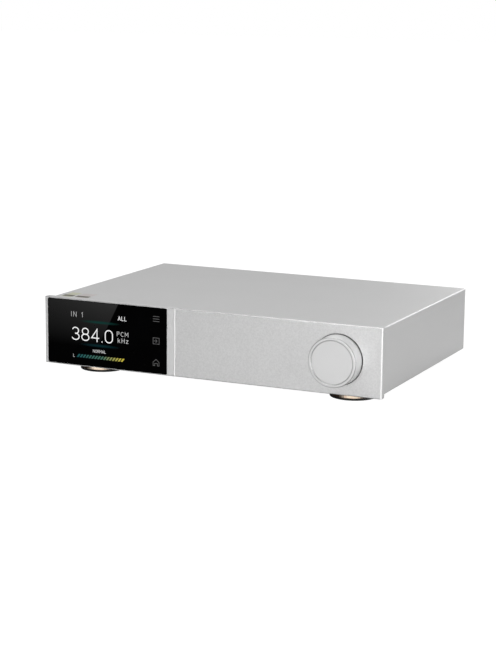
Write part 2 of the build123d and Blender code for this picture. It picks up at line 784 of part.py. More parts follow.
xlr_flange = (26.0, 31.0)
xlr_flange_corner = 2.5
xlr_back = case_back - 18.0
xlr_floor = case_back - 10.0
xlr_collar = 1.2             # round collar in front of the flange
xlr_collar_radius = 10.2
xlr_pin_radius = 1.2
xlr_pins = [(-4.1, 1.9), (4.1, 1.9), (0.0, -3.9)]
output_cavity = 8.1
input_cavity = 9.5
input_core = 7.7
contact_hole = 1.4
latch_travel = 1.4
xlr_screw_length = 6.0
latch_proud = 1.8
latch_length = 6.0
latch_front = flange_face + latch_proud
latch_back = latch_front - latch_length
latch_pocket = latch_back - latch_travel - 0.4


def xlr_shell(x, cavity_radius):
    """Square-flanged round XLR housing, bored to its floor."""
    with BuildPart() as shell:
        with BuildSketch(facing(flange_face)):
            with Locations((x, case_mid)):
                RectangleRounded(*xlr_flange, xlr_flange_corner)
        extrude(amount=bezel)
        chamfer(shell.faces().sort_by(Axis.Y)[-1].edges(), 0.4)
        with BuildSketch(facing(flange_face + xlr_collar)):
            with Locations((x, case_mid)):
                Circle(xlr_collar_radius)
        extrude(amount=bezel + xlr_collar)
        with BuildSketch(facing(case_back)):
            with Locations((x, case_mid)):
                Circle(xlr_body_radius)
        extrude(amount=case_back - xlr_back)
        with BuildSketch(facing(flange_face + xlr_collar)):
            with Locations((x, case_mid)):
                Circle(cavity_radius)
        extrude(amount=flange_face + xlr_collar - xlr_floor, mode=Mode.SUBTRACT)
        # Countersunk screw holes in two opposite corners.
        dx, dz = xlr_screw_offset
        with Locations(*[Location((x - side * dx, flange_face, case_mid + side * dz), (-90, 0, 0))
                         for side in (-1, 1)]):
            CounterSinkHole(clearance_hole, flat_head + slip, depth=bezel, counter_sink_angle=90)
    return shell.part


output_shells = [xlr_shell(x, output_cavity) for x in xlr_output_xs]
with BuildPart() as xlr_outputs:
    add(output_shells)
    with BuildSketch(facing(xlr_floor)):
        for x in xlr_output_xs:
            with Locations(*[(x + dx, case_mid + dz) for dx, dz in xlr_pins]):
                Circle(xlr_pin_radius)
    extrude(amount=xlr_floor - xlr_back, mode=Mode.SUBTRACT)
    # Keyway at the top of each cavity.
    with BuildSketch(facing(flange_face + xlr_collar)):
        with Locations(*[(x, case_mid + output_cavity) for x in xlr_output_xs]):
            Rectangle(2.4, 1.6)
    extrude(amount=flange_face + xlr_collar - xlr_floor, mode=Mode.SUBTRACT)
xlr_outputs.part.label = "xlr_outputs"
export_step(xlr_outputs.part, "parts/xlr_outputs.step")

with BuildPart() as xlr_pin_set:
    with BuildSketch(facing(flange_face - 0.6)):
        for x in xlr_output_xs:
            with Locations(*[(x + dx, case_mid + dz) for dx, dz in xlr_pins]):
                Circle(xlr_pin_radius)
    extrude(amount=flange_face - 0.6 - (xlr_back - 3.5))
    tips = xlr_pin_set.faces().group_by(Axis.Y)[-1].edges()
    chamfer(tips, 0.5)
xlr_pin_set.part.label = "xlr_pin_set"
export_step(xlr_pin_set.part, "parts/xlr_pin_set.step")

input_shell = xlr_shell(xlr_input_x, input_cavity)
with BuildPart() as xlr_input:
    # Housing, open at the back too, where the contact carrier is pushed in.
    add(input_shell)
    with BuildSketch(facing(xlr_floor)):
        with Locations((xlr_input_x, case_mid)):
            Circle(input_cavity)
    extrude(amount=xlr_floor - xlr_back, mode=Mode.SUBTRACT)
    # Contact carrier: a plug in the back of the housing and a core with the three contact holes.
    with BuildSketch(facing(xlr_floor)):
        with Locations((xlr_input_x, case_mid)):
            Circle(input_cavity - slip)
    extrude(amount=xlr_floor - xlr_back)
    with BuildSketch(facing(flange_face)):
        with Locations((xlr_input_x, case_mid)):
            Circle(input_core)
    extrude(amount=flange_face - xlr_floor)
    with BuildSketch(facing(flange_face)):
        with Locations(*[(xlr_input_x - dx, case_mid + dz) for dx, dz in xlr_pins]):
            Circle(contact_hole)
    extrude(amount=flange_face - xlr_floor, mode=Mode.SUBTRACT)
    # Housing and pocket of the release latch.
    with BuildSketch(facing(case_back)):
        with Locations((xlr_input_x, latch_z)):
            Rectangle(latch_width + 2 * latch_wall, latch_height + 2 * latch_wall)
    extrude(amount=case_back - latch_pocket + latch_wall)
    with BuildSketch(facing(flange_face)):
        with Locations((xlr_input_x, latch_z)):
            Rectangle(latch_width + 2 * running, latch_height + 2 * running)
    extrude(amount=flange_face - latch_pocket, mode=Mode.SUBTRACT)
xlr_input.part.label = "xlr_input"
export_step(xlr_input.part, "parts/xlr_input.step")

with BuildPart() as xlr_latch:
    with BuildSketch(facing(latch_front)):
        with Locations((xlr_input_x, latch_z)):
            Rectangle(latch_width, latch_height)
    extrude(amount=latch_length)
    fillet(xlr_latch.faces().sort_by(Axis.Y)[-1].edges(), 0.4)
xlr_latch.part.label = "xlr_latch"
export_step(xlr_latch.part, "parts/xlr_latch.step")

xlr_screw = flat_screw(thread, flat_head, xlr_screw_length)
with BuildPart() as xlr_screws:
    with Locations(*[Location((x, flange_face, z), (90, 0, 0)) for x, z in xlr_screw_points]):
        add(xlr_screw)
xlr_screws.part.label = "xlr_screws"
export_step(xlr_screws.part, "parts/xlr_screws.step")

# ------------------------------------------------------------------ phono sockets

phono_radius = 4.15
phono_bore = 3.3
phono_contact = 1.7
phono_back = case_back - 10.0
phono_nut_flats = 11.0
insert_back = phono_back - 3.0


with BuildPart() as phono_shells:
    # Plated shells, each with a hexagonal flange outside the panel: two outputs and one input.
    with BuildSketch(facing(socket_end)):
        with Locations(*phono_points):
            Circle(phono_radius)
    extrude(amount=socket_projection)
    chamfer(phono_shells.faces().group_by(Axis.Y)[-1].edges(), 0.3)
    with BuildSketch(facing(flange_face)):
        with Locations(*phono_points):
            RegularPolygon(radius=phono_nut_flats / 2, side_count=6, major_radius=False)
    extrude(amount=bezel)
    with BuildSketch(facing(case_back)):
        with Locations(*phono_points):
            Circle(phono_body_radius)
    extrude(amount=case_back - phono_back)
    with BuildSketch(facing(socket_end)):
        with Locations(*phono_points):
            Circle(phono_bore)
    extrude(amount=socket_end - phono_back, mode=Mode.SUBTRACT)
phono_shells.part.label = "phono_shells"
export_step(phono_shells.part, "parts/phono_shells.step")

with BuildPart() as phono_inserts:
    # Moulded insulators, with the hole for the plug's centre pin.
    with BuildSketch(facing(socket_end - 0.8)):
        with Locations(*phono_points):
            Circle(phono_bore)
    extrude(amount=socket_end - 0.8 - insert_back)
    with BuildSketch(facing(socket_end - 0.8)):
        with Locations(*phono_points):
            Circle(phono_contact)
    extrude(amount=9.0, mode=Mode.SUBTRACT)
phono_inserts.part.label = "phono_inserts"
export_step(phono_inserts.part, "parts/phono_inserts.step")

# ------------------------------------------------------------------ antenna and trigger sockets

antenna_end = case_back + 7.5
antenna_free_radius = 3.175
antenna_nut_flats = 9.5
socket_nut_thickness = 2.0
trigger_end = case_back + 3.4
trigger_bore = 1.8
trigger_nut_radius = 4.2

with BuildPart() as antenna_socket:
    # Slimmer free end for the antenna, then the section that passes the nut and the panel.
    with BuildSketch(facing(antenna_end)):
        with Locations(antenna_point):
            Circle(antenna_free_radius)
    extrude(amount=antenna_end - panel_inner)
    chamfer(antenna_socket.faces().sort_by(Axis.Y)[-1].edges(), 0.25)
    with BuildSketch(facing(case_back + socket_nut_thickness)):
        with Locations(antenna_point):
            Circle(antenna_radius)
    extrude(amount=case_back + socket_nut_thickness - panel_inner)
    with BuildSketch(facing(panel_inner)):
        with Locations(antenna_point):
            RegularPolygon(radius=4.5, side_count=6)
    extrude(amount=4.0)
    with BuildSketch(facing(antenna_end)):
        with Locations(antenna_point):
            Circle(2.3)
            Circle(1.9, mode=Mode.SUBTRACT)
            Circle(0.55)
    extrude(amount=3.0, mode=Mode.SUBTRACT)
antenna_socket.part.label = "antenna_socket"
export_step(antenna_socket.part, "parts/antenna_socket.step")

with BuildPart() as trigger_jacks:
    with BuildSketch(facing(trigger_end)):
        with Locations(*trigger_points):
            Circle(trigger_radius)
    extrude(amount=trigger_end - panel_inner)
    with BuildSketch(facing(panel_inner)):
        with Locations(*trigger_points):
            Rectangle(9.0, 9.0)
    extrude(amount=11.0)
    with BuildSketch(facing(trigger_end)):
        with Locations(*trigger_points):
            Circle(trigger_bore)
    extrude(amount=14.0, mode=Mode.SUBTRACT)
trigger_jacks.part.label = "trigger_jacks"
export_step(trigger_jacks.part, "parts/trigger_jacks.step")

with BuildPart() as socket_nuts:
    # Round nuts of the trigger jacks and the hexagonal nut of the antenna socket.
    with BuildSketch(facing(case_back + socket_nut_thickness)):
        with Locations(*trigger_points):
            Circle(trigger_nut_radius)
            Circle(trigger_radius + snug, mode=Mode.SUBTRACT)
        with Locations(antenna_point):
            RegularPolygon(radius=antenna_nut_flats / 2, side_count=6, major_radius=False)
            Circle(antenna_radius + snug, mode=Mode.SUBTRACT)
    extrude(amount=socket_nut_thickness)
socket_nuts.part.label = "socket_nuts"
export_step(socket_nuts.part, "parts/socket_nuts.step")

# ------------------------------------------------------------------ board-mounted digital sockets

port_front = case_back + 0.5
port_wall = 0.4
usb_back = port_front - 16.0
usb_floor = port_front - 9.0
usb_mouth = (8.5, 7.8)
usb_z = board_top + usb_height / 2
usb_tongue_size = (5.6, 3.2)

with BuildPart() as usb_shell:
    with BuildSketch(facing(port_front)):
        with Locations((usb_x, usb_z)):
            Rectangle(usb_width, usb_height)
    extrude(amount=port_front - usb_back)
    with BuildSketch(facing(port_front)) as mouth:
        with Locations((usb_x, usb_z)):
            Rectangle(*usb_mouth)
        chamfer(mouth.vertices().group_by(Axis.Z)[-1], 1.6)
    extrude(amount=port_front - usb_floor, mode=Mode.SUBTRACT)
usb_shell.part.label = "usb_shell"
export_step(usb_shell.part, "parts/usb_shell.step")

link_back = port_front - 11.0
link_z = board_top + link_height / 2

with BuildPart() as link_shell:
    with BuildSketch(facing(port_front)) as outer:
        with Locations((link_x, link_z)):
            Rectangle(link_width, link_height)
        chamfer(outer.vertices().group_by(Axis.Z)[0], 1.6)
    extrude(amount=port_front - link_back)
    with BuildSketch(facing(port_front)) as inner:
        with Locations((link_x, link_z)):
            Rectangle(link_width - 2 * port_wall, link_height - 2 * port_wall)
        chamfer(inner.vertices().group_by(Axis.Z)[0], 1.6)
    extrude(amount=port_front - link_back - 1.0, mode=Mode.SUBTRACT)
link_shell.part.label = "link_shell"
export_step(link_shell.part, "parts/link_shell.step")

with BuildPart() as port_tongues:
    # Contact carriers of the two ports.
    with BuildSketch(facing(port_front - 1.0)):
        with Locations((usb_x, usb_z)):
            Rectangle(*usb_tongue_size)
    extrude(amount=port_front - 1.0 - usb_floor)
    with BuildSketch(facing(port_front - 1.0)):
        with Locations((link_x, link_z + 0.3)):
            Rectangle(10.6, 1.2)
    extrude(amount=port_front - 2.0 - link_back)
port_tongues.part.label = "port_tongues"
export_step(port_tongues.part, "parts/port_tongues.step")

optical_z = board_top + optical_size / 2
optical_back = port_front - 13.0
optical_mouth = 7.6
optical_floor = port_front - 9.0
flap_thickness = 0.6
flap_axis_y = port_front - 0.9
flap_axis_z = optical_z + 3.2
flap_pin_radius = 0.45
flap_width = optical_mouth - 0.3
flap_hang = 6.7              # axis to the flap's lower edge
flap_pin_reach = 0.5
guide_stub = 0.8             # short enough for the flap to swing past

with BuildPart() as optical_body:
    with BuildSketch(facing(port_front)):
        with Locations((optical_x, optical_z)):
            Rectangle(optical_size, optical_size)
    extrude(amount=port_front - optical_back)
    with BuildSketch(facing(port_front)):
        with Locations((optical_x, optical_z)):
            Rectangle(optical_mouth, optical_mouth + 0.3)
    extrude(amount=port_front - optical_floor, mode=Mode.SUBTRACT)
    with BuildSketch(Plane.YZ.offset(optical_x - flap_width / 2 - flap_pin_reach - running)):
        with Locations((flap_axis_y, flap_axis_z)):
            Circle(flap_pin_radius + running)
    extrude(amount=flap_width + 2 * flap_pin_reach + 2 * running, mode=Mode.SUBTRACT)
    # Stub of the light guide at the back of the socket.
    with BuildSketch(facing(optical_floor + guide_stub)):
        with Locations((optical_x, optical_z - 1.0)):
            Circle(1.3)
    extrude(amount=guide_stub)
optical_body.part.label = "optical_body"
export_step(optical_body.part, "parts/optical_body.step")

with BuildPart() as optical_flap:
    with BuildSketch(Plane.YZ.offset(optical_x - flap_width / 2)):
        with Locations((flap_axis_y, flap_axis_z)):
            Circle(flap_pin_radius)
        with Locations((flap_axis_y, flap_axis_z - flap_hang / 2)):
            Rectangle(flap_thickness, flap_hang)
    extrude(amount=flap_width)
    with BuildSketch(Plane.YZ.offset(optical_x - flap_width / 2 - flap_pin_reach)):
        with Locations((flap_axis_y, flap_axis_z)):
            Circle(flap_pin_radius)
    extrude(amount=flap_width + 2 * flap_pin_reach)
optical_flap.part.label = "optical_flap"
export_step(optical_flap.part, "parts/optical_flap.step")

# ------------------------------------------------------------------ main board

main_left = -50.0
main_right = 100.0
main_rear = case_back - 4.0
main_front = -50.0
notch_right = -34.0
notch_rear = 14.0
main_standoffs = [(-46.0, 50.0), (25.0, 50.0), (96.0, 50.0), (-18.0, -44.0), (37.0, -44.0), (95.0, -44.0)]
power_left = -100.0
power_right = -54.0
power_front = 14.0
power_rear = case_back - 4.0
power_standoffs = [(-97.0, 17.5), (-57.5, 17.5), (-96.0, 57.0), (-57.5, 57.0)]
standoff_points = main_standoffs + power_standoffs
standoff_flats = 5.0

with BuildPart() as main_board:
    with BuildSketch(Plane.XY.offset(board_bottom)):
        with BuildLine():
            Polyline((main_left, notch_rear), (notch_right, notch_rear), (notch_right, main_front),
                     (main_right, main_front), (main_right, main_rear), (main_left, main_rear), close=True)
        make_face()
        with Locations(*main_standoffs):
            Circle(clearance_hole, mode=Mode.SUBTRACT)
    extrude(amount=board)
main_board.part.label = "main_board"
export_step(main_board.part, "parts/main_board.step")

with BuildPart() as power_board:
    with BuildSketch(Plane.XY.offset(board_bottom)):
        with Locations(((power_left + power_right) / 2, (power_front + power_rear) / 2)):
            Rectangle(power_right - power_left, power_rear - power_front)
        with Locations(*power_standoffs):
            Circle(clearance_hole, mode=Mode.SUBTRACT)
    extrude(amount=board)
power_board.part.label = "power_board"
export_step(power_board.part, "parts/power_board.step")

with BuildPart() as board_standoffs:
    with BuildSketch(Plane.XY.offset(tray_top)):
        with Locations(*standoff_points):
            RegularPolygon(radius=standoff_flats / 2, side_count=6, major_radius=False)
            Circle(thread + snug, mode=Mode.SUBTRACT)
    extrude(amount=standoff_height)
board_standoffs.part.label = "board_standoffs"
export_step(board_standoffs.part, "parts/board_standoffs.step")

board_screw = pan_screw(board + standoff_height - 1.0)
with BuildPart() as board_screws:
    with Locations(*[Location((x, y, board_top), (180, 0, 0)) for x, y in standoff_points]):
        add(board_screw)
board_screws.part.label = "board_screws"
export_step(board_screws.part, "parts/board_screws.step")

chip_thickness = 1.3
regulator_thickness = 3.8
heatsink_left = -63.5
heatsink_right = -57.5
heatsink_front = 22.0
heatsink_rear = 50.0
heatsink_height = 21.0
regulator_points = [(heatsink_left - regulator_thickness / 2, y) for y in (27.0, 45.0)]
digital_chip_points = [(-34.0, 42.0), (-12.0, 38.0)]
dac_chip_point = (32.0, 22.0)
amplifier_points = [(x, y) for x in (52.0, 62.0, 72.0, 82.0) for y in (2.0, 18.0)]
oscillator_points = [(6.0, 34.0), (6.0, 18.0)]
relay_points = [(48.0, 40.0), (60.0, 40.0), (72.0, 40.0), (84.0, 40.0)]
smoothing_points = [(x, y) for x in (-16.0, -4.0, 8.0, 20.0) for y in (-8.0, -22.0)]
smoothing_points += [(36.0, -10.0), (36.0, -24.0)]

with BuildPart() as board_chips:
    # Processors, the converter and the output amplifiers on the main board.
    with BuildSketch(Plane.XY.offset(board_top)):
        with Locations(*digital_chip_points):
            Rectangle(12.0, 12.0)
        with Locations(dac_chip_point):
            Rectangle(9.0, 9.0)
        with Locations(*amplifier_points):
            Rectangle(5.0, 6.2)
    extrude(amount=chip_thickness)
    # Processor and memory on the back of the control board.
    with BuildSketch(facing(control_back + chip_thickness)):
        with Locations((-72.0, 27.0)):
            Rectangle(10.0, 10.0)
        with Locations((-56.0, 33.0)):
            Rectangle(6.0, 5.0)
    extrude(amount=chip_thickness)
    # Two voltage regulators standing against the heatsink on the power board.
    with BuildSketch(Plane.XY.offset(board_top + 2.0)):
        with Locations(*regulator_points):
            Rectangle(regulator_thickness, 10.0)
    extrude(amount=15.0)
board_chips.part.label = "board_chips"
export_step(board_chips.part, "parts/board_chips.step")

with BuildPart() as clock_oscillators:
    with BuildSketch(Plane.XY.offset(board_top)):
        with Locations(*oscillator_points):
            RectangleRounded(12.0, 5.0, 2.2)
    extrude(amount=3.6)
    fillet(clock_oscillators.faces().group_by(Axis.Z)[-1].edges(), 0.5)
clock_oscillators.part.label = "clock_oscillators"
export_step(clock_oscillators.part, "parts/clock_oscillators.step")

with BuildPart() as output_relays:
    with BuildSketch(Plane.XY.offset(board_top)):
        with Locations(*relay_points):
            Rectangle(7.5, 15.0)
    extrude(amount=10.0)
output_relays.part.label = "output_relays"
export_step(output_relays.part, "parts/output_relays.step")

# ------------------------------------------------------------------ power supply

transformer_radius = 29.0
transformer_hole = 9.0
transformer_pad = 1.0
transformer_height = 27.0
transformer_bottom = tray_top + transformer_pad
transformer_top = transformer_bottom + transformer_height
clamp_radius = 16.0
clamp_thickness = 1.5
bolt_nut_height = 3.2
reservoir_points = [(x, y) for x in (-91.0, -75.2) for y in (27.0, 43.0)]
reservoir_radius = 7.4
reservoir_height = 20.0
smoothing_radius = 4.0
smoothing_height = 12.0
fuse_x = -82.0
fuse_y = 54.6
fuse_length = 20.0

with BuildPart() as power_transformer:
    # Wound ring, rounded at all four edges.
    with BuildSketch(Plane.XZ.offset(-transformer_y)):
        with Locations((transformer_x + (transformer_radius + transformer_hole) / 2,
                        transformer_bottom + transformer_height / 2)):
            RectangleRounded(transformer_radius - transformer_hole, transformer_height, 6.0)
    revolve(axis=Axis((transformer_x, transformer_y, 0), (0, 0, 1)))
power_transformer.part.label = "power_transformer"
export_step(power_transformer.part, "parts/power_transformer.step")

with BuildPart() as transformer_pads:
    with BuildSketch(Plane.XY.offset(tray_top)):
        with Locations((transformer_x, transformer_y)):
            Circle(transformer_radius - 4.0)
            Circle(transformer_hole, mode=Mode.SUBTRACT)
    extrude(amount=transformer_pad)
    with BuildSketch(Plane.XY.offset(transformer_top)):
        with Locations((transformer_x, transformer_y)):
            Circle(clamp_radius + 2.0)
            Circle(bolt_radius + slip, mode=Mode.SUBTRACT)
    extrude(amount=transformer_pad)
transformer_pads.part.label = "transformer_pads"
export_step(transformer_pads.part, "parts/transformer_pads.step")

clamp_bottom = transformer_top + transformer_pad
with BuildPart() as transformer_clamp:
    with BuildSketch(Plane.XY.offset(clamp_bottom)):
        with Locations((transformer_x, transformer_y)):
            Circle(clamp_radius)
            Circle(bolt_radius + slip, mode=Mode.SUBTRACT)
    extrude(amount=clamp_thickness)
transformer_clamp.part.label = "transformer_clamp"
export_step(transformer_clamp.part, "parts/transformer_clamp.step")

clamp_top = clamp_bottom + clamp_thickness
long_bolt = flat_screw(bolt_radius, bolt_head, clamp_top + bolt_nut_height + 0.8 - case_bottom)
with BuildPart() as transformer_bolt:
    with Locations((transformer_x, transformer_y, case_bottom)):
        add(long_bolt)
    with BuildSketch(Plane.XY.offset(clamp_top)):
        with Locations((transformer_x, transformer_y)):
            RegularPolygon(radius=3.5, side_count=6, major_radius=False)
            Circle(bolt_radius + snug, mode=Mode.SUBTRACT)
    extrude(amount=bolt_nut_height)
transformer_bolt.part.label = "transformer_bolt"
export_step(transformer_bolt.part, "parts/transformer_bolt.step")

with BuildPart() as capacitors:
    # Reservoir capacitors on the power board, smoothing capacitors on the main board.
    with BuildSketch(Plane.XY.offset(board_top)):
        with Locations(*reservoir_points):
            Circle(reservoir_radius)
    extrude(amount=reservoir_height)
    with BuildSketch(Plane.XY.offset(board_top)):
        with Locations(*smoothing_points):
            Circle(smoothing_radius)
    extrude(amount=smoothing_height)
    can_tops = [face.edges() for face in capacitors.faces().filter_by(Axis.Z)
                if face.center().Z > board_top + 1]
    fillet([edge for edges in can_tops for edge in edges], 0.5)
capacitors.part.label = "capacitors"
export_step(capacitors.part, "parts/capacitors.step")

fin_count = 6
fin_thickness = 1.2
heatsink_base = 2.4
with BuildPart() as heatsink:
    with BuildSketch(Plane.XY.offset(board_top)):
        with Locations((heatsink_left + heatsink_base / 2, (heatsink_front + heatsink_rear) / 2)):
            Rectangle(heatsink_base, heatsink_rear - heatsink_front)
        with Locations(((heatsink_left + heatsink_right) / 2, (heatsink_front + heatsink_rear) / 2)):
            with GridLocations(0, (heatsink_rear - heatsink_front - fin_thickness) / (fin_count - 1),
                               1, fin_count):
                Rectangle(heatsink_right - heatsink_left, fin_thickness)
    extrude(amount=heatsink_height)
heatsink.part.label = "heatsink"
export_step(heatsink.part, "parts/heatsink.step")

with BuildPart() as mains_fuse:
    # Glass fuse lying in the two clips of its holder.
    with BuildSketch(Plane.YZ.offset(fuse_x - fuse_length / 2)):
        with Locations((fuse_y, board_top + 3.2)):
            Circle(2.5)
    extrude(amount=fuse_length)
    with BuildSketch(Plane.XY.offset(board_top)):
        with Locations(*[(fuse_x + side * (fuse_length / 2 - 2.5), fuse_y) for side in (-1, 1)]):
            Rectangle(3.0, 6.4)
    extrude(amount=4.6)
mains_fuse.part.label = "mains_fuse"
export_step(mains_fuse.part, "parts/mains_fuse.step")

# ------------------------------------------------------------------ ribbons and leads

lead_radius = 0.8
lead_pull = 4.0              # how far a lead runs straight before it bends


def lead(start, start_direction, end, end_direction):
    """Round insulated wire that leaves one point and arrives at another."""
    start_handle = Vector(start) + Vector(start_direction) * lead_pull
    end_handle = Vector(end) - Vector(end_direction) * lead_pull
    with BuildPart() as wire:
        with BuildLine() as path:
            Bezier(start, start_handle, end_handle, end)
        with BuildSketch(Plane(origin=path.line @ 0, z_dir=path.line % 0)):
            Circle(lead_radius)
        sweep(is_frenet=True)
    return wire.part


def ribbon(start, end, x):
    """Flat ribbon cable, centred on x, that leaves and arrives level; points are (y, z)."""
    with BuildPart() as strip:
        with BuildSketch(Plane.YZ.offset(x - ribbon_width / 2)):
            with BuildLine():
                Spline(start, end, tangents=((1, 0), (1, 0)))
            trace(line_width=0.4)
        extrude(amount=ribbon_width)
    return strip.part


header_z = board_top + header_height / 2
header_front = main_front + 2.0
display_header_y = control_back + header_depth
encoder_header_y = encoder_back + board + header_depth
encoder_ribbon_z = knob_z - encoder_ribbon_drop

with BuildPart() as board_headers:
    with BuildSketch(Plane.XY.offset(board_top)):
        with Locations(*[(x, header_front + header_depth / 2) for x in (ribbon_x, knob_x)]):
            Rectangle(ribbon_width + 1.6, header_depth)
    extrude(amount=header_height)
    with BuildSketch(facing(display_header_y)):
        with Locations((ribbon_x, display_ribbon_z)):
            Rectangle(ribbon_width + 1.6, header_height)
    extrude(amount=header_depth)
    with BuildSketch(facing(encoder_header_y)):
        with Locations((knob_x, encoder_ribbon_z)):
            Rectangle(ribbon_width + 1.6, header_height)
    extrude(amount=header_depth)
board_headers.part.label = "board_headers"
export_step(board_headers.part, "parts/board_headers.step")

ribbon_landing = (header_front - slip, header_z)
display_ribbon = ribbon((display_header_y + slip, display_ribbon_z), ribbon_landing, ribbon_x)
encoder_ribbon = ribbon((encoder_header_y + slip, encoder_ribbon_z), ribbon_landing, knob_x)
with BuildPart() as ribbon_cables:
    add([display_ribbon, encoder_ribbon])
ribbon_cables.part.label = "ribbon_cables"
export_step(ribbon_cables.part, "parts/ribbon_cables.step")

forward = (0, -1, 0)
rearward = (0, 1, 0)
downward = (0, 0, -1)
lead_gap = 0.3
tab_y = blade_tab - lead_gap
switch_tab_y = switch_back - switch_tab_length - lead_gap
board_landing = board_top + lead_gap
live_blade, earth_blade, neutral_blade = blade_points

# Inlet to switch, switch to board, inlet to board, then the transformer's three leads.
leads = [
    lead((mains_x + neutral_blade[0], tab_y, case_mid + neutral_blade[1]), forward,
         (switch_x, switch_tab_y, case_mid + switch_tabs[0]), rearward),
    lead((switch_x, switch_tab_y, case_mid + switch_tabs[1]), forward,
         (switch_x - 9.5, switch_tab_y + 3.0, board_landing), downward),
    lead((mains_x + live_blade[0], tab_y, case_mid + live_blade[1]), forward,
         (mains_x - 12.5, tab_y - 3.5, board_landing), downward),
]
for dx in (-4.0, -1.0, 2.0):
    leads.append(lead((transformer_x + dx, transformer_y + transformer_radius + lead_gap,
                       transformer_bottom + 20.0), rearward,
                      (transformer_x + dx, power_front + 2.6, board_landing), downward))

with BuildPart() as internal_leads:
    add(leads)
internal_leads.part.label = "internal_leads"
export_step(internal_leads.part, "parts/internal_leads.step")
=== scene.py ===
"""Looks of the desktop converter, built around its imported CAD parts.

Everything is in metres in the CAD frame: +X right seen from the front, the front faces -Y, +Z up.
"""

import math

import bmesh
import bpy
from mathutils import Matrix, Vector


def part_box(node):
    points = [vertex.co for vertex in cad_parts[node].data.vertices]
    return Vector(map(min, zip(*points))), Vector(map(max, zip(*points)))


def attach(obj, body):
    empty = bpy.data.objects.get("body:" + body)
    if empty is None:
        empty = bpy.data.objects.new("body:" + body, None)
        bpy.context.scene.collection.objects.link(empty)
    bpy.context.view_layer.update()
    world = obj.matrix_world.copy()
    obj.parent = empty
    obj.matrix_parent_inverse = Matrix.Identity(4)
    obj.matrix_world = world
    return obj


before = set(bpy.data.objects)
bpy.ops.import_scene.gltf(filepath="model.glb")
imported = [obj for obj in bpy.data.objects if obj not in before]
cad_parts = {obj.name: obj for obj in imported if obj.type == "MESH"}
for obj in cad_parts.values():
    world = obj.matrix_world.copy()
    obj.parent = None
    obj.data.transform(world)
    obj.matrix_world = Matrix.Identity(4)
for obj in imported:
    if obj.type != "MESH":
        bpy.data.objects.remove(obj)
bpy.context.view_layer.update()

MM = 0.001


# ---------------------------------------------------------------- node materials

class Shader:
    """Node graph of one material that ends in a Principled shader."""

    def __init__(self, name, roughness=0.5, metallic=0.0, specular=0.5):
        self.material = bpy.data.materials.new(name)
        self.material.use_nodes = True
        self.tree = self.material.node_tree
        self.surface = self.tree.nodes["Principled BSDF"]
        self.set(self.surface, Roughness=roughness, Metallic=metallic)
        self.surface.inputs["Specular IOR Level"].default_value = specular
        self.place = self.tree.nodes.new("ShaderNodeTexCoord").outputs["Object"]

    def set(self, node, **values):
        for name, value in values.items():
            node.inputs[name.replace("_", " ")].default_value = value

    def link(self, source, node, name):
        self.tree.links.new(source, node.inputs[name])

    def add(self, kind, **settings):
        node = self.tree.nodes.new("ShaderNode" + kind)
        for name, value in settings.items():
            setattr(node, name, value)
        return node

    def stretched(self, x, y, z):
        """Object coordinates scaled per axis, for brushed and wound patterns."""
        node = self.add("Mapping")
        node.inputs["Scale"].default_value = (x, y, z)
        self.link(self.place, node, "Vector")
        return node.outputs["Vector"]

    def noise(self, size_mm, detail=2.0, rough=0.55, vector=None):
        """Noise whose features are about size_mm across."""
        node = self.add("TexNoise")
        self.set(node, Scale=1.0 / (size_mm * MM), Detail=detail, Roughness=rough)
        self.link(vector or self.place, node, "Vector")
        return node.outputs["Fac"]

    def axis(self, letter):
        """One object coordinate, in metres."""
        node = self.add("SeparateXYZ")
        self.link(self.place, node, "Vector")
        return node.outputs[letter]

    def math(self, operation, a, b=0.0):
        node = self.add("Math", operation=operation)
        for index, value in enumerate((a, b)):
            if isinstance(value, (int, float)):
                node.inputs[index].default_value = value
            else:
                self.tree.links.new(value, node.inputs[index])
        return node.outputs["Value"]

    def span(self, value, low, high, out_low=0.0, out_high=1.0, smooth=False):
        """value, mapped from low..high to out_low..out_high and clamped."""
        node = self.add("MapRange", interpolation_type="SMOOTHSTEP" if smooth else "LINEAR")
        self.set(node, From_Min=low, From_Max=high, To_Min=out_low, To_Max=out_high)
        self.link(value, node, "Value")
        return node.outputs["Result"]

    def mix(self, share, first, second):
        """Colour between first and second; either may be a colour or a socket."""
        node = self.add("Mix", data_type="RGBA")
        for socket, value in ((node.inputs[0], share), (node.inputs[6], first), (node.inputs[7], second)):
            if isinstance(value, bpy.types.NodeSocket):
                self.tree.links.new(value, socket)
            else:
                socket.default_value = value
        return node.outputs[2]

    def color(self, source):
        self.link(source, self.surface, "Base Color")

    def painted_gap_shade(self, source, reach_mm):
        """The colour, with painted shade in gaps and corners narrower than about reach_mm."""
        near = self.add("AmbientOcclusion", samples=8)
        self.set(near, Distance=reach_mm * MM)
        return self.mix(self.span(near.outputs["AO"], 0.25, 0.8), rgba(0.01, 0.01, 0.01), source)

    def facing(self, x, y, z):
        """How squarely the bare surface faces a direction, 1 for fully."""
        node = self.add("VectorMath", operation="DOT_PRODUCT")
        self.link(self.add("NewGeometry").outputs["True Normal"], node, 0)
        node.inputs[1].default_value = Vector((x, y, z)).normalized()
        return node.outputs["Value"]

    def between(self, value, low, high, soft):
        """1 where value lies between low and high, with edges that fade over a width of soft."""
        return self.math("MULTIPLY", self.span(value, low, low + soft),
                         self.span(value, high, high + soft, 1.0, 0.0))

    def relief(self, height, depth_mm, edge_mm=0.0):
        """Bump of the given depth, with edges rounded by edge_mm."""
        bump = self.add("Bump")
        self.set(bump, Strength=1.0, Distance=depth_mm * MM)
        self.link(height, bump, "Height")
        if edge_mm:
            bevel = self.add("Bevel", samples=4)
            self.set(bevel, Radius=edge_mm * MM)
            self.tree.links.new(bevel.outputs["Normal"], bump.inputs["Normal"])
        self.link(bump.outputs["Normal"], self.surface, "Normal")


def rgba(red, green, blue):
    return (red, green, blue, 1.0)


def shade(color, factor):
    """The color made lighter or darker by a factor."""
    return rgba(*[min(1.0, part * factor) for part in color[:3]])


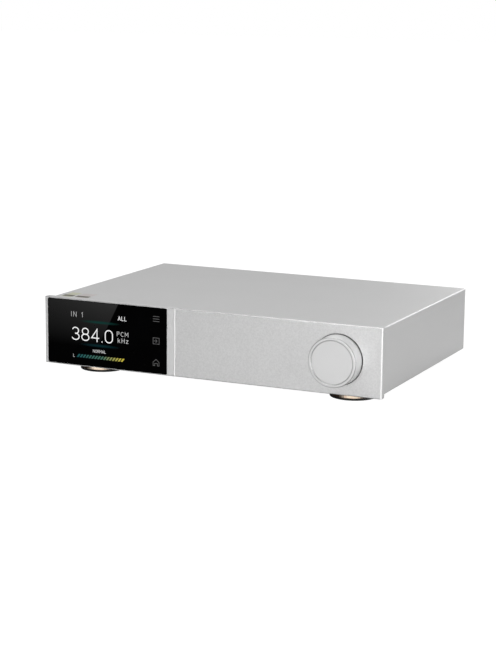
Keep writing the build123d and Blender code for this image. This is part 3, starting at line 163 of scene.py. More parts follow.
def blasted_metal(name, color, roughness, grain_mm=0.5, contrast=0.10, depth_mm=0.02):
    """Bead-blasted and anodised metal: fine grain over a faint broad unevenness."""
    s = Shader(name, metallic=1.0)
    grain = s.noise(grain_mm, detail=3.0, rough=0.7)
    broad = s.noise(40.0, detail=1.0)
    speckled = s.mix(s.span(grain, 0.3, 0.7), shade(color, 1 - contrast), shade(color, 1 + contrast))
    s.color(s.mix(s.span(broad, 0.3, 0.7, 0.0, 0.12), speckled, shade(color, 0.9)))
    s.link(s.span(grain, 0.3, 0.7, roughness - 0.06, roughness + 0.08), s.surface, "Roughness")
    s.relief(grain, depth_mm, 0.15)
    return s.material


def plated_metal(name, color, roughness):
    """Smooth plated or polished metal with faint rubbing marks and cloudy roughness."""
    s = Shader(name, metallic=1.0)
    cloud = s.noise(3.0, detail=4.0)
    marks = s.noise(0.25, detail=2.0, vector=s.stretched(1.0, 0.12, 1.0))
    s.color(s.mix(s.span(cloud, 0.35, 0.65), shade(color, 0.93), color))
    s.link(s.span(marks, 0.3, 0.7, roughness, roughness + 0.05), s.surface, "Roughness")
    s.relief(marks, 0.002, 0.12)
    return s.material


def polished_bronze():
    """Foot rings: dark polished bronze with a painted gleam, pale colour and a glow, on the side turned to
    the front.
    """
    s = Shader("foot_bronze", metallic=1.0)
    cloud = s.noise(3.0, detail=4.0)
    deep = s.mix(s.span(cloud, 0.35, 0.65), rgba(0.13, 0.085, 0.06), rgba(0.17, 0.11, 0.08))
    # Painted reflection: pale colour and glow where the ring faces the front.
    painted_gleam = s.span(s.facing(0.30, -0.95, 0), 0.80, 0.995, smooth=True)
    s.color(s.mix(painted_gleam, deep, rgba(1.0, 0.86, 0.72)))
    s.set(s.surface, Emission_Color=rgba(1.0, 0.80, 0.62))
    s.link(s.math("MULTIPLY", s.math("POWER", painted_gleam, 5.0), 0.7), s.surface, "Emission Strength")
    s.link(s.span(cloud, 0.3, 0.7, 0.08, 0.14), s.surface, "Roughness")
    s.relief(cloud, 0.002, 0.2)
    return s.material


def moulded_plastic(name, color, roughness, depth_mm=0.01):
    """Moulded plastic with a fine spark-eroded texture and slightly uneven sheen."""
    s = Shader(name)
    grain = s.noise(0.35, detail=2.0)
    flow = s.noise(9.0, detail=2.0)
    s.color(s.mix(s.span(flow, 0.3, 0.7), shade(color, 0.92), shade(color, 1.08)))
    s.link(s.span(flow, 0.3, 0.7, roughness - 0.05, roughness + 0.05), s.surface, "Roughness")
    s.relief(grain, depth_mm, 0.2)
    return s.material


SILVER = rgba(0.66, 0.66, 0.66)


def panel_metal():
    """Front panel: blasted like the cover, but smoother on the display land's border with a painted
    highlight there, and painted shade on the chamfers and in narrow gaps.
    """
    s = Shader("front_panel_metal", metallic=1.0)
    grain = s.noise(0.9, detail=3.0, rough=0.7)
    across = s.axis("X")
    glass_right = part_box("display_glass")[1].x
    land_end = glass_right + LAND_BORDER
    border = s.math("MULTIPLY", s.span(across, glass_right - 0.2 * MM, glass_right),
                    s.span(across, land_end, land_end + 0.05 * MM, 1.0, 0.0))
    # Painted highlight: the land's border is painted lighter than the rest of the face.
    rough_side = s.mix(s.span(grain, 0.35, 0.65), shade(SILVER, 0.93), shade(SILVER, 1.07))
    smooth_highlit_side = s.mix(s.span(grain, 0.35, 0.65), shade(SILVER, 1.05), shade(SILVER, 1.09))
    # Painted shade: the cut chamfers along the top and the left end are painted darker than the blasted
    # faces.
    faces = s.mix(border, rough_side, smooth_highlit_side)
    faces = s.mix(s.span(s.facing(0, -1, 1), 0.9, 0.98), faces, shade(SILVER, 0.50))
    faces = s.mix(s.span(s.facing(-1, -1, 0), 0.9, 0.98), faces, shade(SILVER, 0.30))
    # Painted shade in narrow gaps, such as round the knob.
    s.color(s.painted_gap_shade(faces, 1.2))
    s.link(s.span(grain, 0.3, 0.7, 0.40, 0.55), s.surface, "Roughness")
    s.relief(grain, 0.02, 0.15)
    return s.material


def turned_metal():
    """Knob: smooth turned aluminium, with faint rings about its axis on a fine satin grain."""
    s = Shader("knob_metal", metallic=1.0)
    low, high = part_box("volume_knob")
    centre = (low + high) / 2
    rim_inside = (high.x - low.x) / 2 - KNOB_RIM
    offset = s.add("VectorMath", operation="SUBTRACT")
    s.link(s.place, offset, 0)
    offset.inputs[1].default_value = (centre.x, 0.0, centre.z)
    flat = s.add("VectorMath", operation="MULTIPLY")
    s.link(offset.outputs["Vector"], flat, 0)
    flat.inputs[1].default_value = (1.0, 0.0, 1.0)
    length = s.add("VectorMath", operation="LENGTH")
    s.link(flat.outputs["Vector"], length, 0)
    radius = length.outputs["Value"]
    rings = s.math("SINE", s.math("MULTIPLY", radius, 2 * math.pi / (0.35 * MM)))
    grain = s.noise(0.3, detail=3.0, rough=0.7)
    tone = s.math("ADD", s.math("MULTIPLY", rings, 0.10), grain)
    turned = s.mix(s.span(tone, 0.3, 0.7), shade(SILVER, 0.98), shade(SILVER, 1.07))
    # Painted light: the wall is painted a little brighter than the face, and the rounded edge and the rim's
    # chamfer get painted shade.
    forward = s.facing(0, -1, 0)
    turned = s.mix(s.span(forward, 0.02, 0.12), shade(SILVER, 1.20), turned)
    edge = s.math("MULTIPLY", s.span(forward, 0.12, 0.3), s.span(forward, 0.86, 0.97, 1.0, 0.0))
    turned = s.mix(edge, turned, shade(SILVER, 0.62))
    # Painted shade: a fine dark line where the rim meets the sunken face.
    rim_line_shade = s.math("MULTIPLY", s.span(radius, rim_inside - 0.45 * MM, rim_inside - 0.15 * MM),
                  s.span(radius, rim_inside, rim_inside + 0.1 * MM, 1.0, 0.0))
    turned = s.mix(s.math("MULTIPLY", rim_line_shade, 0.5), turned, shade(SILVER, 0.45))
    # Painted shade in narrow gaps, such as at the knob's base.
    s.color(s.painted_gap_shade(turned, 1.0))
    s.link(s.span(grain, 0.3, 0.7, 0.48, 0.58), s.surface, "Roughness")
    s.relief(tone, 0.004)
    return s.material


def black_glass():
    """Black-printed display glass, with a painted reflection of a window over its left half: a soft slanted
    sheen that glows.
    """
    s = Shader("display_black_glass", roughness=0.06, specular=0.01)
    low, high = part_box("display_glass")
    smudge = s.noise(14.0, detail=3.0)
    s.color(s.mix(s.span(smudge, 0.3, 0.7), rgba(0.0002, 0.0002, 0.0002), rgba(0.0005, 0.0005, 0.0006)))
    across, height = s.axis("X"), s.axis("Z")
    # The sheen ends at a slanted edge that runs down to the left, and fades towards the bottom.
    edge = s.math("ADD", across, s.math("MULTIPLY", s.math("SUBTRACT", high.z, height), SHEEN_SLANT))
    inside = s.span(edge, high.x - SHEEN_EDGE, high.x - SHEEN_EDGE + 0.4 * MM, 1.0, 0.0)
    fade_down = s.span(height, low.z + SHEEN_FOOT * (high.z - low.z), high.z, 0.0, 1.0)
    fade_left = s.span(across, low.x, low.x + 40 * MM, 0.6, 1.0)
    sheen = s.math("MULTIPLY", s.math("MULTIPLY", inside, fade_down), fade_left)
    s.link(s.math("MULTIPLY", sheen, SHEEN_LIGHT), s.surface, "Emission Strength")
    s.set(s.surface, Emission_Color=rgba(1.0, 1.0, 1.0))
    s.link(s.span(smudge, 0.3, 0.7, 0.04, 0.09), s.surface, "Roughness")
    return s.material


def lit(name, color, strength):
    """Lit part of the readout, with the faint unevenness of a backlight."""
    s = Shader(name, roughness=0.4, specular=0.0)
    uneven = s.noise(6.0, detail=1.0)
    s.set(s.surface, Base_Color=rgba(0.0005, 0.0005, 0.0005), Emission_Color=color)
    s.link(s.span(uneven, 0.2, 0.8, strength * 0.94, strength * 1.04), s.surface, "Emission Strength")
    return s.material


def circuit_board():
    """Green solder mask over a pattern of tracks, with small bare pads."""
    s = Shader("board_green", specular=0.5)
    cell = s.add("TexVoronoi", feature="DISTANCE_TO_EDGE", distance="MANHATTAN")
    s.set(cell, Scale=1.0 / (2.2 * MM), Randomness=0.75)
    s.link(s.place, cell, "Vector")
    track = s.span(cell.outputs["Distance"], 0.05, 0.09, 1.0, 0.0)
    pads = s.add("TexVoronoi", feature="F1")
    s.set(pads, Scale=1.0 / (3.4 * MM), Randomness=1.0)
    s.link(s.place, pads, "Vector")
    pad = s.span(pads.outputs["Distance"], 0.10, 0.12, 1.0, 0.0)
    mask = s.mix(track, rgba(0.004, 0.055, 0.022), rgba(0.012, 0.12, 0.045))
    s.color(s.mix(pad, mask, rgba(0.62, 0.60, 0.52)))
    s.link(pad, s.surface, "Metallic")
    s.link(s.span(pad, 0.0, 1.0, 0.38, 0.3), s.surface, "Roughness")
    s.relief(track, 0.03)
    return s.material


def banded_tape():
    """Overlapping turns of polyester tape round the transformer's ring."""
    low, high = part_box("power_transformer")
    centre = (low + high) / 2
    s = Shader("winding_tape", specular=0.6)
    x = s.math("SUBTRACT", s.axis("X"), centre.x)
    y = s.math("SUBTRACT", s.axis("Y"), centre.y)
    turn = s.math("ARCTAN2", y, x)
    saw = s.math("FRACT", s.math("MULTIPLY", turn, 28 / (2 * math.pi)))
    cloud = s.noise(5.0, detail=2.0)
    tape = s.mix(s.span(cloud, 0.3, 0.7), rgba(0.62, 0.42, 0.06), rgba(0.78, 0.56, 0.10))
    s.color(s.mix(s.span(saw, 0.0, 0.12, 0.6, 0.0), tape, rgba(0.35, 0.22, 0.03)))
    s.link(s.span(cloud, 0.3, 0.7, 0.25, 0.4), s.surface, "Roughness")
    s.relief(saw, 0.25)
    return s.material


def can_sleeve():
    """Capacitors: dark shrink sleeve with a pale stripe, and a bare aluminium top."""
    s = Shader("capacitor_sleeve", specular=0.5)
    normal = s.add("NewGeometry").outputs["Normal"]
    parts = s.add("SeparateXYZ")
    s.link(normal, parts, "Vector")
    top = s.span(parts.outputs["Z"], 0.8, 0.9)
    stripe = s.span(parts.outputs["X"], 0.86, 0.9)
    grain = s.noise(0.6, detail=2.0)
    sleeve = s.mix(stripe, rgba(0.012, 0.014, 0.03), rgba(0.55, 0.55, 0.5))
    s.color(s.mix(top, sleeve, rgba(0.62, 0.62, 0.62)))
    s.link(top, s.surface, "Metallic")
    s.link(s.span(grain, 0.3, 0.7, 0.28, 0.42), s.surface, "Roughness")
    s.relief(grain, 0.01, 0.2)
    return s.material


def flat_cable():
    """Grey ribbon cable with its parallel conductors and one red edge."""
    s = Shader("ribbon_cable_grey", specular=0.4)
    across = s.axis("X")
    wave = s.math("SINE", s.math("MULTIPLY", across, 2 * math.pi / (0.6 * MM)))
    cloud = s.noise(4.0)
    s.color(s.mix(s.span(cloud, 0.3, 0.7), rgba(0.30, 0.30, 0.31), rgba(0.38, 0.38, 0.39)))
    s.link(s.span(cloud, 0.3, 0.7, 0.45, 0.6), s.surface, "Roughness")
    s.relief(wave, 0.12)
    return s.material


def lead_jackets():
    """Insulated leads; brown, blue and black by where they run."""
    s = Shader("lead_jacket", specular=0.45)
    place = s.noise(9.0, detail=0.0)
    first = s.mix(s.span(place, 0.48, 0.49), rgba(0.02, 0.05, 0.35), rgba(0.20, 0.07, 0.02))
    s.color(s.mix(s.span(place, 0.58, 0.59), first, rgba(0.015, 0.015, 0.015)))
    fine = s.noise(0.5)
    s.link(s.span(fine, 0.3, 0.7, 0.35, 0.5), s.surface, "Roughness")
    s.relief(fine, 0.01)
    return s.material


def phono_insulators():
    """Insulators of the phono sockets: white and red for the outputs, black for the digital input."""
    s = Shader("phono_insulator", specular=0.5)
    low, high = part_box("phono_inserts")
    outputs = s.span(s.axis("X"), (low.x + high.x) / 2, (low.x + high.x) / 2 + 0.1 * MM)
    upper = s.span(s.axis("Z"), (low.z + high.z) / 2, (low.z + high.z) / 2 + 0.1 * MM)
    cloud = s.noise(2.0)
    pair = s.mix(upper, rgba(0.55, 0.02, 0.02), rgba(0.82, 0.82, 0.80))
    s.color(s.mix(outputs, rgba(0.02, 0.02, 0.02), pair))
    s.link(s.span(cloud, 0.3, 0.7, 0.3, 0.42), s.surface, "Roughness")
    s.relief(cloud, 0.01, 0.15)
    return s.material


def rubber():
    s = Shader("pad_rubber", specular=0.35)
    grain = s.noise(0.4, detail=3.0)
    cloud = s.noise(7.0)
    s.color(s.mix(s.span(cloud, 0.3, 0.7), rgba(0.010, 0.010, 0.010), rgba(0.020, 0.020, 0.019)))
    s.link(s.span(grain, 0.3, 0.7, 0.65, 0.85), s.surface, "Roughness")
    s.relief(grain, 0.03, 0.25)
    return s.material


def powder_coat(name, color):
    """Textured powder coat on sheet metal."""
    s = Shader(name, metallic=0.35, specular=0.5)
    lumps = s.noise(0.7, detail=2.0)
    s.color(s.mix(s.span(lumps, 0.3, 0.7), shade(color, 0.9), shade(color, 1.06)))
    s.link(s.span(lumps, 0.3, 0.7, 0.45, 0.62), s.surface, "Roughness")
    s.relief(lumps, 0.05, 0.2)
    return s.material


def label_foil(name, pale, deep):
    """Foil label: crinkled foil with a dark printed band across it near its front edge."""
    s = Shader(name, metallic=1.0)
    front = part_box("top_cover")[0].y
    crinkle = s.noise(1.2, detail=4.0)
    foil = s.mix(s.span(crinkle, 0.3, 0.7), deep, pale)
    along = s.axis("Y")
    band = s.between(along, front + LABEL_BAND[0], front + LABEL_BAND[1], 0.2 * MM)
    s.color(s.mix(band, foil, rgba(0.16, 0.15, 0.12)))
    s.link(s.span(crinkle, 0.3, 0.7, 0.38, 0.5), s.surface, "Roughness")
    s.relief(crinkle, 0.01)
    return s.material


def pale_floor():
    """White studio floor: close to evenly lit where seen, and a soft grey in reflections."""
    s = Shader("studio_floor", roughness=0.9, specular=0.0)
    cloud = s.noise(400.0, detail=1.0)
    s.color(s.mix(s.span(cloud, 0.3, 0.7), shade(FLOOR_GREY, 0.98), shade(FLOOR_GREY, 1.02)))
    glow = s.add("Emission")
    s.set(glow, Color=rgba(1, 1, 1), Strength=FLOOR_LIGHT)
    path = s.add("LightPath")
    share = s.math("MULTIPLY", path.outputs["Is Camera Ray"], FLOOR_GLOW)
    blend = s.add("MixShader")
    s.link(share, blend, "Fac")
    s.tree.links.new(s.surface.outputs["BSDF"], blend.inputs[1])
    s.tree.links.new(glow.outputs["Emission"], blend.inputs[2])
    s.tree.links.new(blend.outputs["Shader"], s.tree.nodes["Material Output"].inputs["Surface"])
    return s.material


# ---------------------------------------------------------------- sizes of the looks

LAND_BORDER = 5.4 * MM       # bare land between the glass and the step to the knob side
KNOB_RIM = 2.0 * MM          # width of the rim round the knob's sunken face
SHEEN_EDGE = 33.3 * MM       # top of the sheen's slanted edge, from the right end of the glass
SHEEN_SLANT = 0.51           # how far that edge moves left for each unit down
SHEEN_FOOT = 0.30            # height at which the sheen has faded away, as a share of the glass
SHEEN_LIGHT = 0.024          # strength of the sheen at its brightest
LABEL_GAP = 2.0 * MM         # cover's front edge to the labels
LABEL_BAND = (5.8 * MM, 10.2 * MM)    # dark band, from the same edge
LABEL_END = 19.0 * MM
LABEL_SPANS = ((4.2 * MM, 11.2 * MM), (13.2 * MM, 22.1 * MM))    # from the cover's left side
LABEL_THICKNESS = 0.08 * MM
INK_THICKNESS = 0.03 * MM
GLOW_HALF = 1.2 * MM         # half the height of the glows on the readout
FLOOR_GREY = rgba(0.59, 0.59, 0.59)
FLOOR_GLOW = 0.88            # share of the seen floor that is evenly lit
FLOOR_LIGHT = 1.14           # strength of that even light


# ---------------------------------------------------------------- stroke lettering

def arc(x, z, radius_x, radius_z, start, end, steps=16):
    """Points along part of an ellipse; angles in degrees, anticlockwise from +x."""
    points = []
    for i in range(steps + 1):
        angle = math.radians(start + (end - start) * i / steps)
        points.append((x + radius_x * math.cos(angle), z + radius_z * math.sin(angle)))
    return points


# Each glyph is its width and its strokes, on a grid one unit high.
GLYPHS = {
    "0": (0.66, [arc(0.33, 0.67, 0.33, 0.33, 0, 180) + arc(0.33, 0.33, 0.33, 0.33, 180, 360)
                 + [(0.66, 0.67)]]),
    "1": (0.25, [[(0.0, 0.8), (0.22, 1.0), (0.22, 0.0)]]),
    "3": (0.64, [arc(0.31, 0.75, 0.28, 0.25, 155, -90, 20) + arc(0.31, 0.26, 0.33, 0.26, 90, -155, 20)]),
    "4": (0.66, [[(0.50, 0.0), (0.50, 1.0), (0.0, 0.28), (0.66, 0.28)]]),
    "8": (0.66, [arc(0.33, 0.75, 0.28, 0.25, 270, 630, 28), arc(0.33, 0.26, 0.33, 0.26, 90, 450, 28)]),
    ".": (0.10, [[(0.05, 0.0), (0.05, 0.03)]]),
    " ": (0.30, []),
    "P": (0.60, [[(0.0, 0.0), (0.0, 1.0), (0.33, 1.0)] + arc(0.33, 0.75, 0.25, 0.25, 90, -90)
                 + [(0.0, 0.5)]]),
    "C": (0.66, [arc(0.36, 0.5, 0.36, 0.5, 50, 310, 24)]),
    "M": (0.80, [[(0.0, 0.0), (0.0, 1.0), (0.40, 0.35), (0.80, 1.0), (0.80, 0.0)]]),
    "k": (0.55, [[(0.0, 0.0), (0.0, 1.0)], [(0.50, 0.68), (0.02, 0.30)], [(0.18, 0.42), (0.55, 0.0)]]),
    "H": (0.66, [[(0.0, 0.0), (0.0, 1.0)], [(0.66, 0.0), (0.66, 1.0)], [(0.0, 0.52), (0.66, 0.52)]]),
    "z": (0.50, [[(0.0, 0.68), (0.50, 0.68), (0.0, 0.0), (0.50, 0.0)]]),
    "I": (0.10, [[(0.05, 0.0), (0.05, 1.0)]]),
    "N": (0.66, [[(0.0, 0.0), (0.0, 1.0), (0.66, 0.0), (0.66, 1.0)]]),
    "A": (0.70, [[(0.0, 0.0), (0.35, 1.0), (0.70, 0.0)], [(0.12, 0.33), (0.58, 0.33)]]),
    "L": (0.50, [[(0.0, 1.0), (0.0, 0.0), (0.50, 0.0)]]),
    "O": (0.70, [arc(0.35, 0.5, 0.35, 0.5, 0, 360, 28)]),
    "R": (0.60, [[(0.0, 0.0), (0.0, 1.0), (0.33, 1.0)] + arc(0.33, 0.75, 0.25, 0.25, 90, -90)
                 + [(0.0, 0.5)], [(0.30, 0.5), (0.60, 0.0)]]),
}


def ribbon(mesh, points, width, place, closed=False):
    """Adds a flat stroke of the given width along points; place turns (x, z) into a 3-D point."""
    count = len(points)
    sides = []
    for i in range(count):
        here = Vector(points[i])
        before = Vector(points[i - 1]) if i or closed else None
        after = Vector(points[(i + 1) % count]) if i + 1 < count or closed else None
        ways = [(here - before).normalized()] if before is not None else []
        ways += [(after - here).normalized()] if after is not None else []
        along = sum(ways, Vector((0, 0))).normalized()
        normal = Vector((-along.y, along.x))
        reach = width / 2 / max(0.35, abs(along.dot(ways[0])))
        sides.append((mesh.verts.new(place(*(here + normal * reach))),
                      mesh.verts.new(place(*(here - normal * reach)))))
    for i in range(count if closed else count - 1):
        (a, b), (c, d) = sides[i], sides[(i + 1) % count]
        mesh.faces.new((a, b, d, c))
    if closed:
        return
    # Round ends.
    for index, other, flip in ((0, 1, 1), (count - 1, count - 2, -1)):
        here = Vector(points[index])
        outward = (here - Vector(points[other])).normalized()
        side = Vector((-outward.y, outward.x))
        first, last = (sides[index][1], sides[index][0]) if flip == 1 else (sides[index][0], sides[index][1])
        rim = []
        for step in range(1, 6):
            angle = math.pi * step / 6
            rim.append(mesh.verts.new(place(*(here + side * (width / 2) * math.cos(angle)
                                              + outward * (width / 2) * math.sin(angle)))))
        mesh.faces.new([first] + rim + [last])


def finish_mesh(mesh, name, material, thickness=None):
    """Turns a bmesh into an object, thickened evenly to both sides where a thickness is given."""
    bmesh.ops.recalc_face_normals(mesh, faces=mesh.faces)
    data = bpy.data.meshes.new(name)
    mesh.to_mesh(data)
    mesh.free()
    piece = bpy.data.objects.new(name, data)
    bpy.context.scene.collection.objects.link(piece)
    data.materials.append(material)
    if thickness:
        solid = piece.modifiers.new("thickness", "SOLIDIFY")
        solid.thickness = thickness
        solid.offset = 0.0
    return piece


def strokes(name, lines, width, depth, material, closed=False):
    """Piece of the case made of flat strokes on the upright plane y = depth; lines hold (x, z) points."""
    mesh = bmesh.new()
    for points in lines:
        ribbon(mesh, points, width, lambda x, z: (x, depth, z), closed)
    piece = finish_mesh(mesh, name, material, INK_THICKNESS)
    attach(piece, "case")
    return piece


def write(name, text, left, right, bottom, height, width, depth, material):
    """Stroke lettering that fills the space from left to right, with even gaps between its letters."""
    used = sum(GLYPHS[letter][0] for letter in text) * height
    gap = (right - left - used) / max(1, len(text) - 1)
    lines, x = [], left
    for letter in text:
        letter_width, parts = GLYPHS[letter]
        for part in parts:
            lines.append([(x + px * height, bottom + pz * height) for px, pz in part])
        x += letter_width * height + gap
    return strokes(name, lines, width, depth, material)


# ---------------------------------------------------------------- readout

def build_readout():
    """Lit figures, level bar and touch icons on the face of the display glass."""
    low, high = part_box("display_glass")
    depth = low.y - INK_THICKNESS
    white = lit("readout_white", rgba(1.0, 1.0, 1.0), 0.93)
    pale = lit("readout_pale", rgba(1.0, 1.0, 1.0), 0.62)
    grey = lit("readout_grey", rgba(1.0, 1.0, 1.0), 0.42)
    icon_grey = lit("icon_grey", rgba(1.0, 1.0, 1.0), 0.12)

    def x(value):
        return low.x + value * MM

    def z(value):
        return low.z + value * MM

    write("readout_rate", "384.0", x(17.2), x(45.4), z(15.8), 7.6 * MM, 0.64 * MM, depth, white)
    write("readout_format", "PCM", x(48.6), x(56.2), z(20.6), 2.6 * MM, 0.28 * MM, depth, pale)
    write("readout_unit", "kHz", x(49.2), x(56.2), z(16.6), 2.7 * MM, 0.28 * MM, depth, pale)
    write("readout_source", "IN 1", x(16.6), x(24.6), z(30.2), 2.9 * MM, 0.34 * MM, depth, grey)
    write("readout_range", "ALL", x(49.3), x(55.0), z(30.4), 2.4 * MM, 0.30 * MM, depth, white)
    write("readout_filter", "NORMAL", x(31.8), x(40.6), z(8.9), 1.7 * MM, 0.22 * MM, depth, pale)
    write("readout_channel", "L", x(17.9), x(18.75), z(4.9), 1.7 * MM, 0.30 * MM, depth, grey)

    # Level bar: slanted ticks that run from teal to yellow.
    bar_left, bar_right, bar_bottom, bar_top = 20.2, 54.0, 4.9, 6.9
    ticks, pitch, tick_width, lean = 16, 2.05, 1.3, 1.5
    level = Shader("readout_level", roughness=0.4, specular=0.0)
    share = level.span(level.axis("X"), x(bar_left), x(bar_right))
    ramp = level.add("ValToRGB")
    ramp.color_ramp.elements[0].color = rgba(0.012, 0.085, 0.095)
    ramp.color_ramp.elements[1].color = rgba(0.56, 0.46, 0.05)
    middle = ramp.color_ramp.elements.new(0.55)
    middle.color = rgba(0.06, 0.15, 0.11)
    level.link(share, ramp, "Fac")
    level.link(ramp.outputs["Color"], level.surface, "Emission Color")
    level.set(level.surface, Base_Color=rgba(0, 0, 0), Emission_Strength=1.0)
    mesh = bmesh.new()
    for index in range(ticks):
        foot = bar_left + index * pitch
        head = foot + lean
        corners = ((foot, bar_bottom), (foot + tick_width, bar_bottom),
                   (head + tick_width, bar_top), (head, bar_top))
        mesh.faces.new([mesh.verts.new((x(cx), depth, z(cz))) for cx, cz in corners])
    bar = finish_mesh(mesh, "readout_level_bar", level.material, INK_THICKNESS)
    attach(bar, "case")

    # Two faint teal glows above and below the figures, brightest in the middle.
    middle_x = x(36.7)
    for name, centre_z, half, color in (("readout_glow_upper", 27.8, 15.5, rgba(0.06, 0.36, 0.30)),
                                        ("readout_glow_lower", 13.3, 15.5, rgba(0.04, 0.20, 0.24))):
        glow = Shader(name + "_light", roughness=0.4, specular=0.0)
        clear = glow.add("BsdfTransparent")
        lamp = glow.add("Emission")
        glow.set(lamp, Color=color, Strength=0.10)
        dx = glow.math("DIVIDE", glow.math("SUBTRACT", glow.axis("X"), middle_x), half * MM)
        dz = glow.math("DIVIDE", glow.math("SUBTRACT", glow.axis("Z"), z(centre_z)), GLOW_HALF)
        reach = glow.math("ADD", glow.math("MULTIPLY", dx, dx), glow.math("MULTIPLY", dz, dz))
        share = glow.math("POWER", glow.span(reach, 0.0, 1.0, 1.0, 0.0), 1.6)
        blend = glow.add("MixShader")
        glow.link(share, blend, "Fac")
        glow.tree.links.new(clear.outputs["BSDF"], blend.inputs[1])
        glow.tree.links.new(lamp.outputs["Emission"], blend.inputs[2])
        output = glow.tree.nodes["Material Output"]
        glow.tree.links.new(blend.outputs["Shader"], output.inputs["Surface"])
        mesh = bmesh.new()
        outline = arc(middle_x, z(centre_z), half * MM, GLOW_HALF, 0, 360, 48)[:-1]
        mesh.faces.new([mesh.verts.new((px, depth + 0.4 * INK_THICKNESS, pz)) for px, pz in outline])
        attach(finish_mesh(mesh, name, glow.material), "case")

    # Touch icons: menu, input select, home.
    menu = [[(x(73.3), z(height)), (x(77.4), z(height))] for height in (32.0, 33.5, 35.0)]
    strokes("icon_menu", menu, 0.30 * MM, depth, icon_grey)
    box = [(x(75.0), z(18.2)), (x(73.3), z(18.2)), (x(73.3), z(21.9)), (x(77.4), z(21.9)),
           (x(77.4), z(18.2)), (x(75.6), z(18.2))]
    arrow = [[(x(73.9), z(20.0)), (x(75.9), z(20.0))], [(x(75.1), z(20.9)), (x(76.0), z(20.0)),
                                                        (x(75.1), z(19.1))]]
    strokes("icon_input", [box] + arrow, 0.32 * MM, depth, icon_grey)
    house = [(x(73.3), z(7.0)), (x(75.3), z(8.7)), (x(77.3), z(7.0)), (x(77.3), z(4.8)),
             (x(76.2), z(4.8)), (x(76.2), z(6.2)), (x(74.4), z(6.2)), (x(74.4), z(4.8)), (x(73.3), z(4.8))]
    strokes("icon_home", [house], 0.30 * MM, depth, icon_grey, closed=True)


# ---------------------------------------------------------------- foil labels

def build_labels():
    """Two blank foil labels on the cover, just behind the front panel at the left."""
    low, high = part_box("top_cover")
    foils = (label_foil("label_foil_yellow", rgba(0.66, 0.67, 0.53), rgba(0.60, 0.61, 0.48)),
             label_foil("label_foil_rose", rgba(0.68, 0.65, 0.64), rgba(0.62, 0.58, 0.57)))
    for index, (left, right) in enumerate(LABEL_SPANS):
        x0, x1 = low.x + left, low.x + right
        y0, y1 = low.y + LABEL_GAP, low.y + LABEL_END
        corner = 0.8 * MM
        outline = []
        for cx, cy, start in ((x1 - corner, y1 - corner, 0), (x0 + corner, y1 - corner, 90),
                              (x0 + corner, y0 + corner, 180), (x1 - corner, y0 + corner, 270)):
            outline += arc(cx, cy, corner, corner, start, start + 90, 6)
        mesh = bmesh.new()
        lower = mesh.faces.new([mesh.verts.new((px, py, high.z)) for px, py in outline])
        raised = bmesh.ops.extrude_face_region(mesh, geom=[lower])["geom"]
        bmesh.ops.translate(mesh, vec=(0, 0, LABEL_THICKNESS), verts=[v for v in raised
                                                             if isinstance(v, bmesh.types.BMVert)])
        piece = finish_mesh(mesh, f"foil_label_{index + 1}", foils[index])
        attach(piece, "case")


# ---------------------------------------------------------------- carried-over CAD nodes

def dress_nodes():
    """Gives every CAD node its procedural material."""
    cover_metal = blasted_metal("cover_metal", SILVER, 0.46, contrast=0.05, depth_mm=0.012)
    rear_metal = blasted_metal("rear_panel_metal", shade(SILVER, 0.97), 0.46, contrast=0.07)
    base_coat = powder_coat("base_coat", rgba(0.46, 0.46, 0.455))
    black_plastic = moulded_plastic("black_moulding", rgba(0.016, 0.016, 0.017), 0.45)
    gloss_plastic = moulded_plastic("rocker_moulding", rgba(0.010, 0.010, 0.010), 0.22, depth_mm=0.003)
    white_plastic = moulded_plastic("pale_moulding", rgba(0.72, 0.71, 0.66), 0.4)
    black_metal = blasted_metal("black_anodised", rgba(0.03, 0.03, 0.032), 0.38, contrast=0.15,
                                grain_mm=0.3)
    steel = plated_metal("zinc_steel", rgba(0.55, 0.56, 0.57), 0.28)
    socket_steel = plated_metal("socket_nickel", rgba(0.62, 0.61, 0.58), 0.22)
    black_steel = plated_metal("black_steel", rgba(0.035, 0.035, 0.038), 0.32)
    gold = plated_metal("gold_plate", rgba(0.83, 0.60, 0.24), 0.16)
    brass = plated_metal("turned_brass", rgba(0.72, 0.52, 0.22), 0.25)
    board = circuit_board()
    groups = {
        "top_cover": cover_metal, "front_panel": panel_metal(), "rear_panel": rear_metal,
        "base_tray": base_coat, "display_glass": black_glass(),
        "lcd_module": moulded_plastic("panel_back", rgba(0.05, 0.052, 0.055), 0.35),
        "foot_rings": polished_bronze(), "foot_pads": rubber(), "transformer_pads": rubber(),
        "volume_knob": turned_metal(),
        "power_transformer": banded_tape(), "capacitors": can_sleeve(),
        "ribbon_cables": flat_cable(), "internal_leads": lead_jackets(),
        "phono_inserts": phono_insulators(), "power_rocker": gloss_plastic,
        "encoder_plunger": white_plastic, "output_relays": white_plastic, "board_headers": white_plastic,
        "mains_fuse": plated_metal("fuse_caps", rgba(0.70, 0.68, 0.62), 0.2),
    }
    for names, material in (
            ("touch_board control_board encoder_board main_board power_board", board),
            ("encoder_body mains_inlet power_switch_body trigger_jacks port_tongues optical_body "
             "optical_flap board_chips", black_plastic),
            ("xlr_outputs xlr_input heatsink", black_metal),
            ("encoder_shaft encoder_washer foot_screws foot_nuts mains_blades board_screws "
             "transformer_clamp transformer_bolt base_screws socket_nuts", steel),
            ("usb_shell link_shell clock_oscillators xlr_latch", socket_steel),
            ("knob_set_screw front_panel_screws rear_panel_screws xlr_screws", black_steel),
            ("xlr_pin_set phono_shells antenna_socket", gold),
            ("encoder_bushing encoder_nut board_standoffs", brass)):
        for name in names.split():
            groups[name] = material
    for name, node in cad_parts.items():
        node.data.materials.clear()
        node.data.materials.append(groups[name])


# ---------------------------------------------------------------- studio

WORLD_LEVEL = 0.16           # even light from all round
# Light added from each side: axis, sign, strength, and how fast it fades with height.
WORLD_SIDES = [
    ("X", 1, 1.00, 1.8),
    ("X", -1, 0.10, 0),
    ("Y", 1, 0.33, 0),
    ("Y", -1, 1.15, 1.8),
    ("Z", 1, 0.05, 0),
]
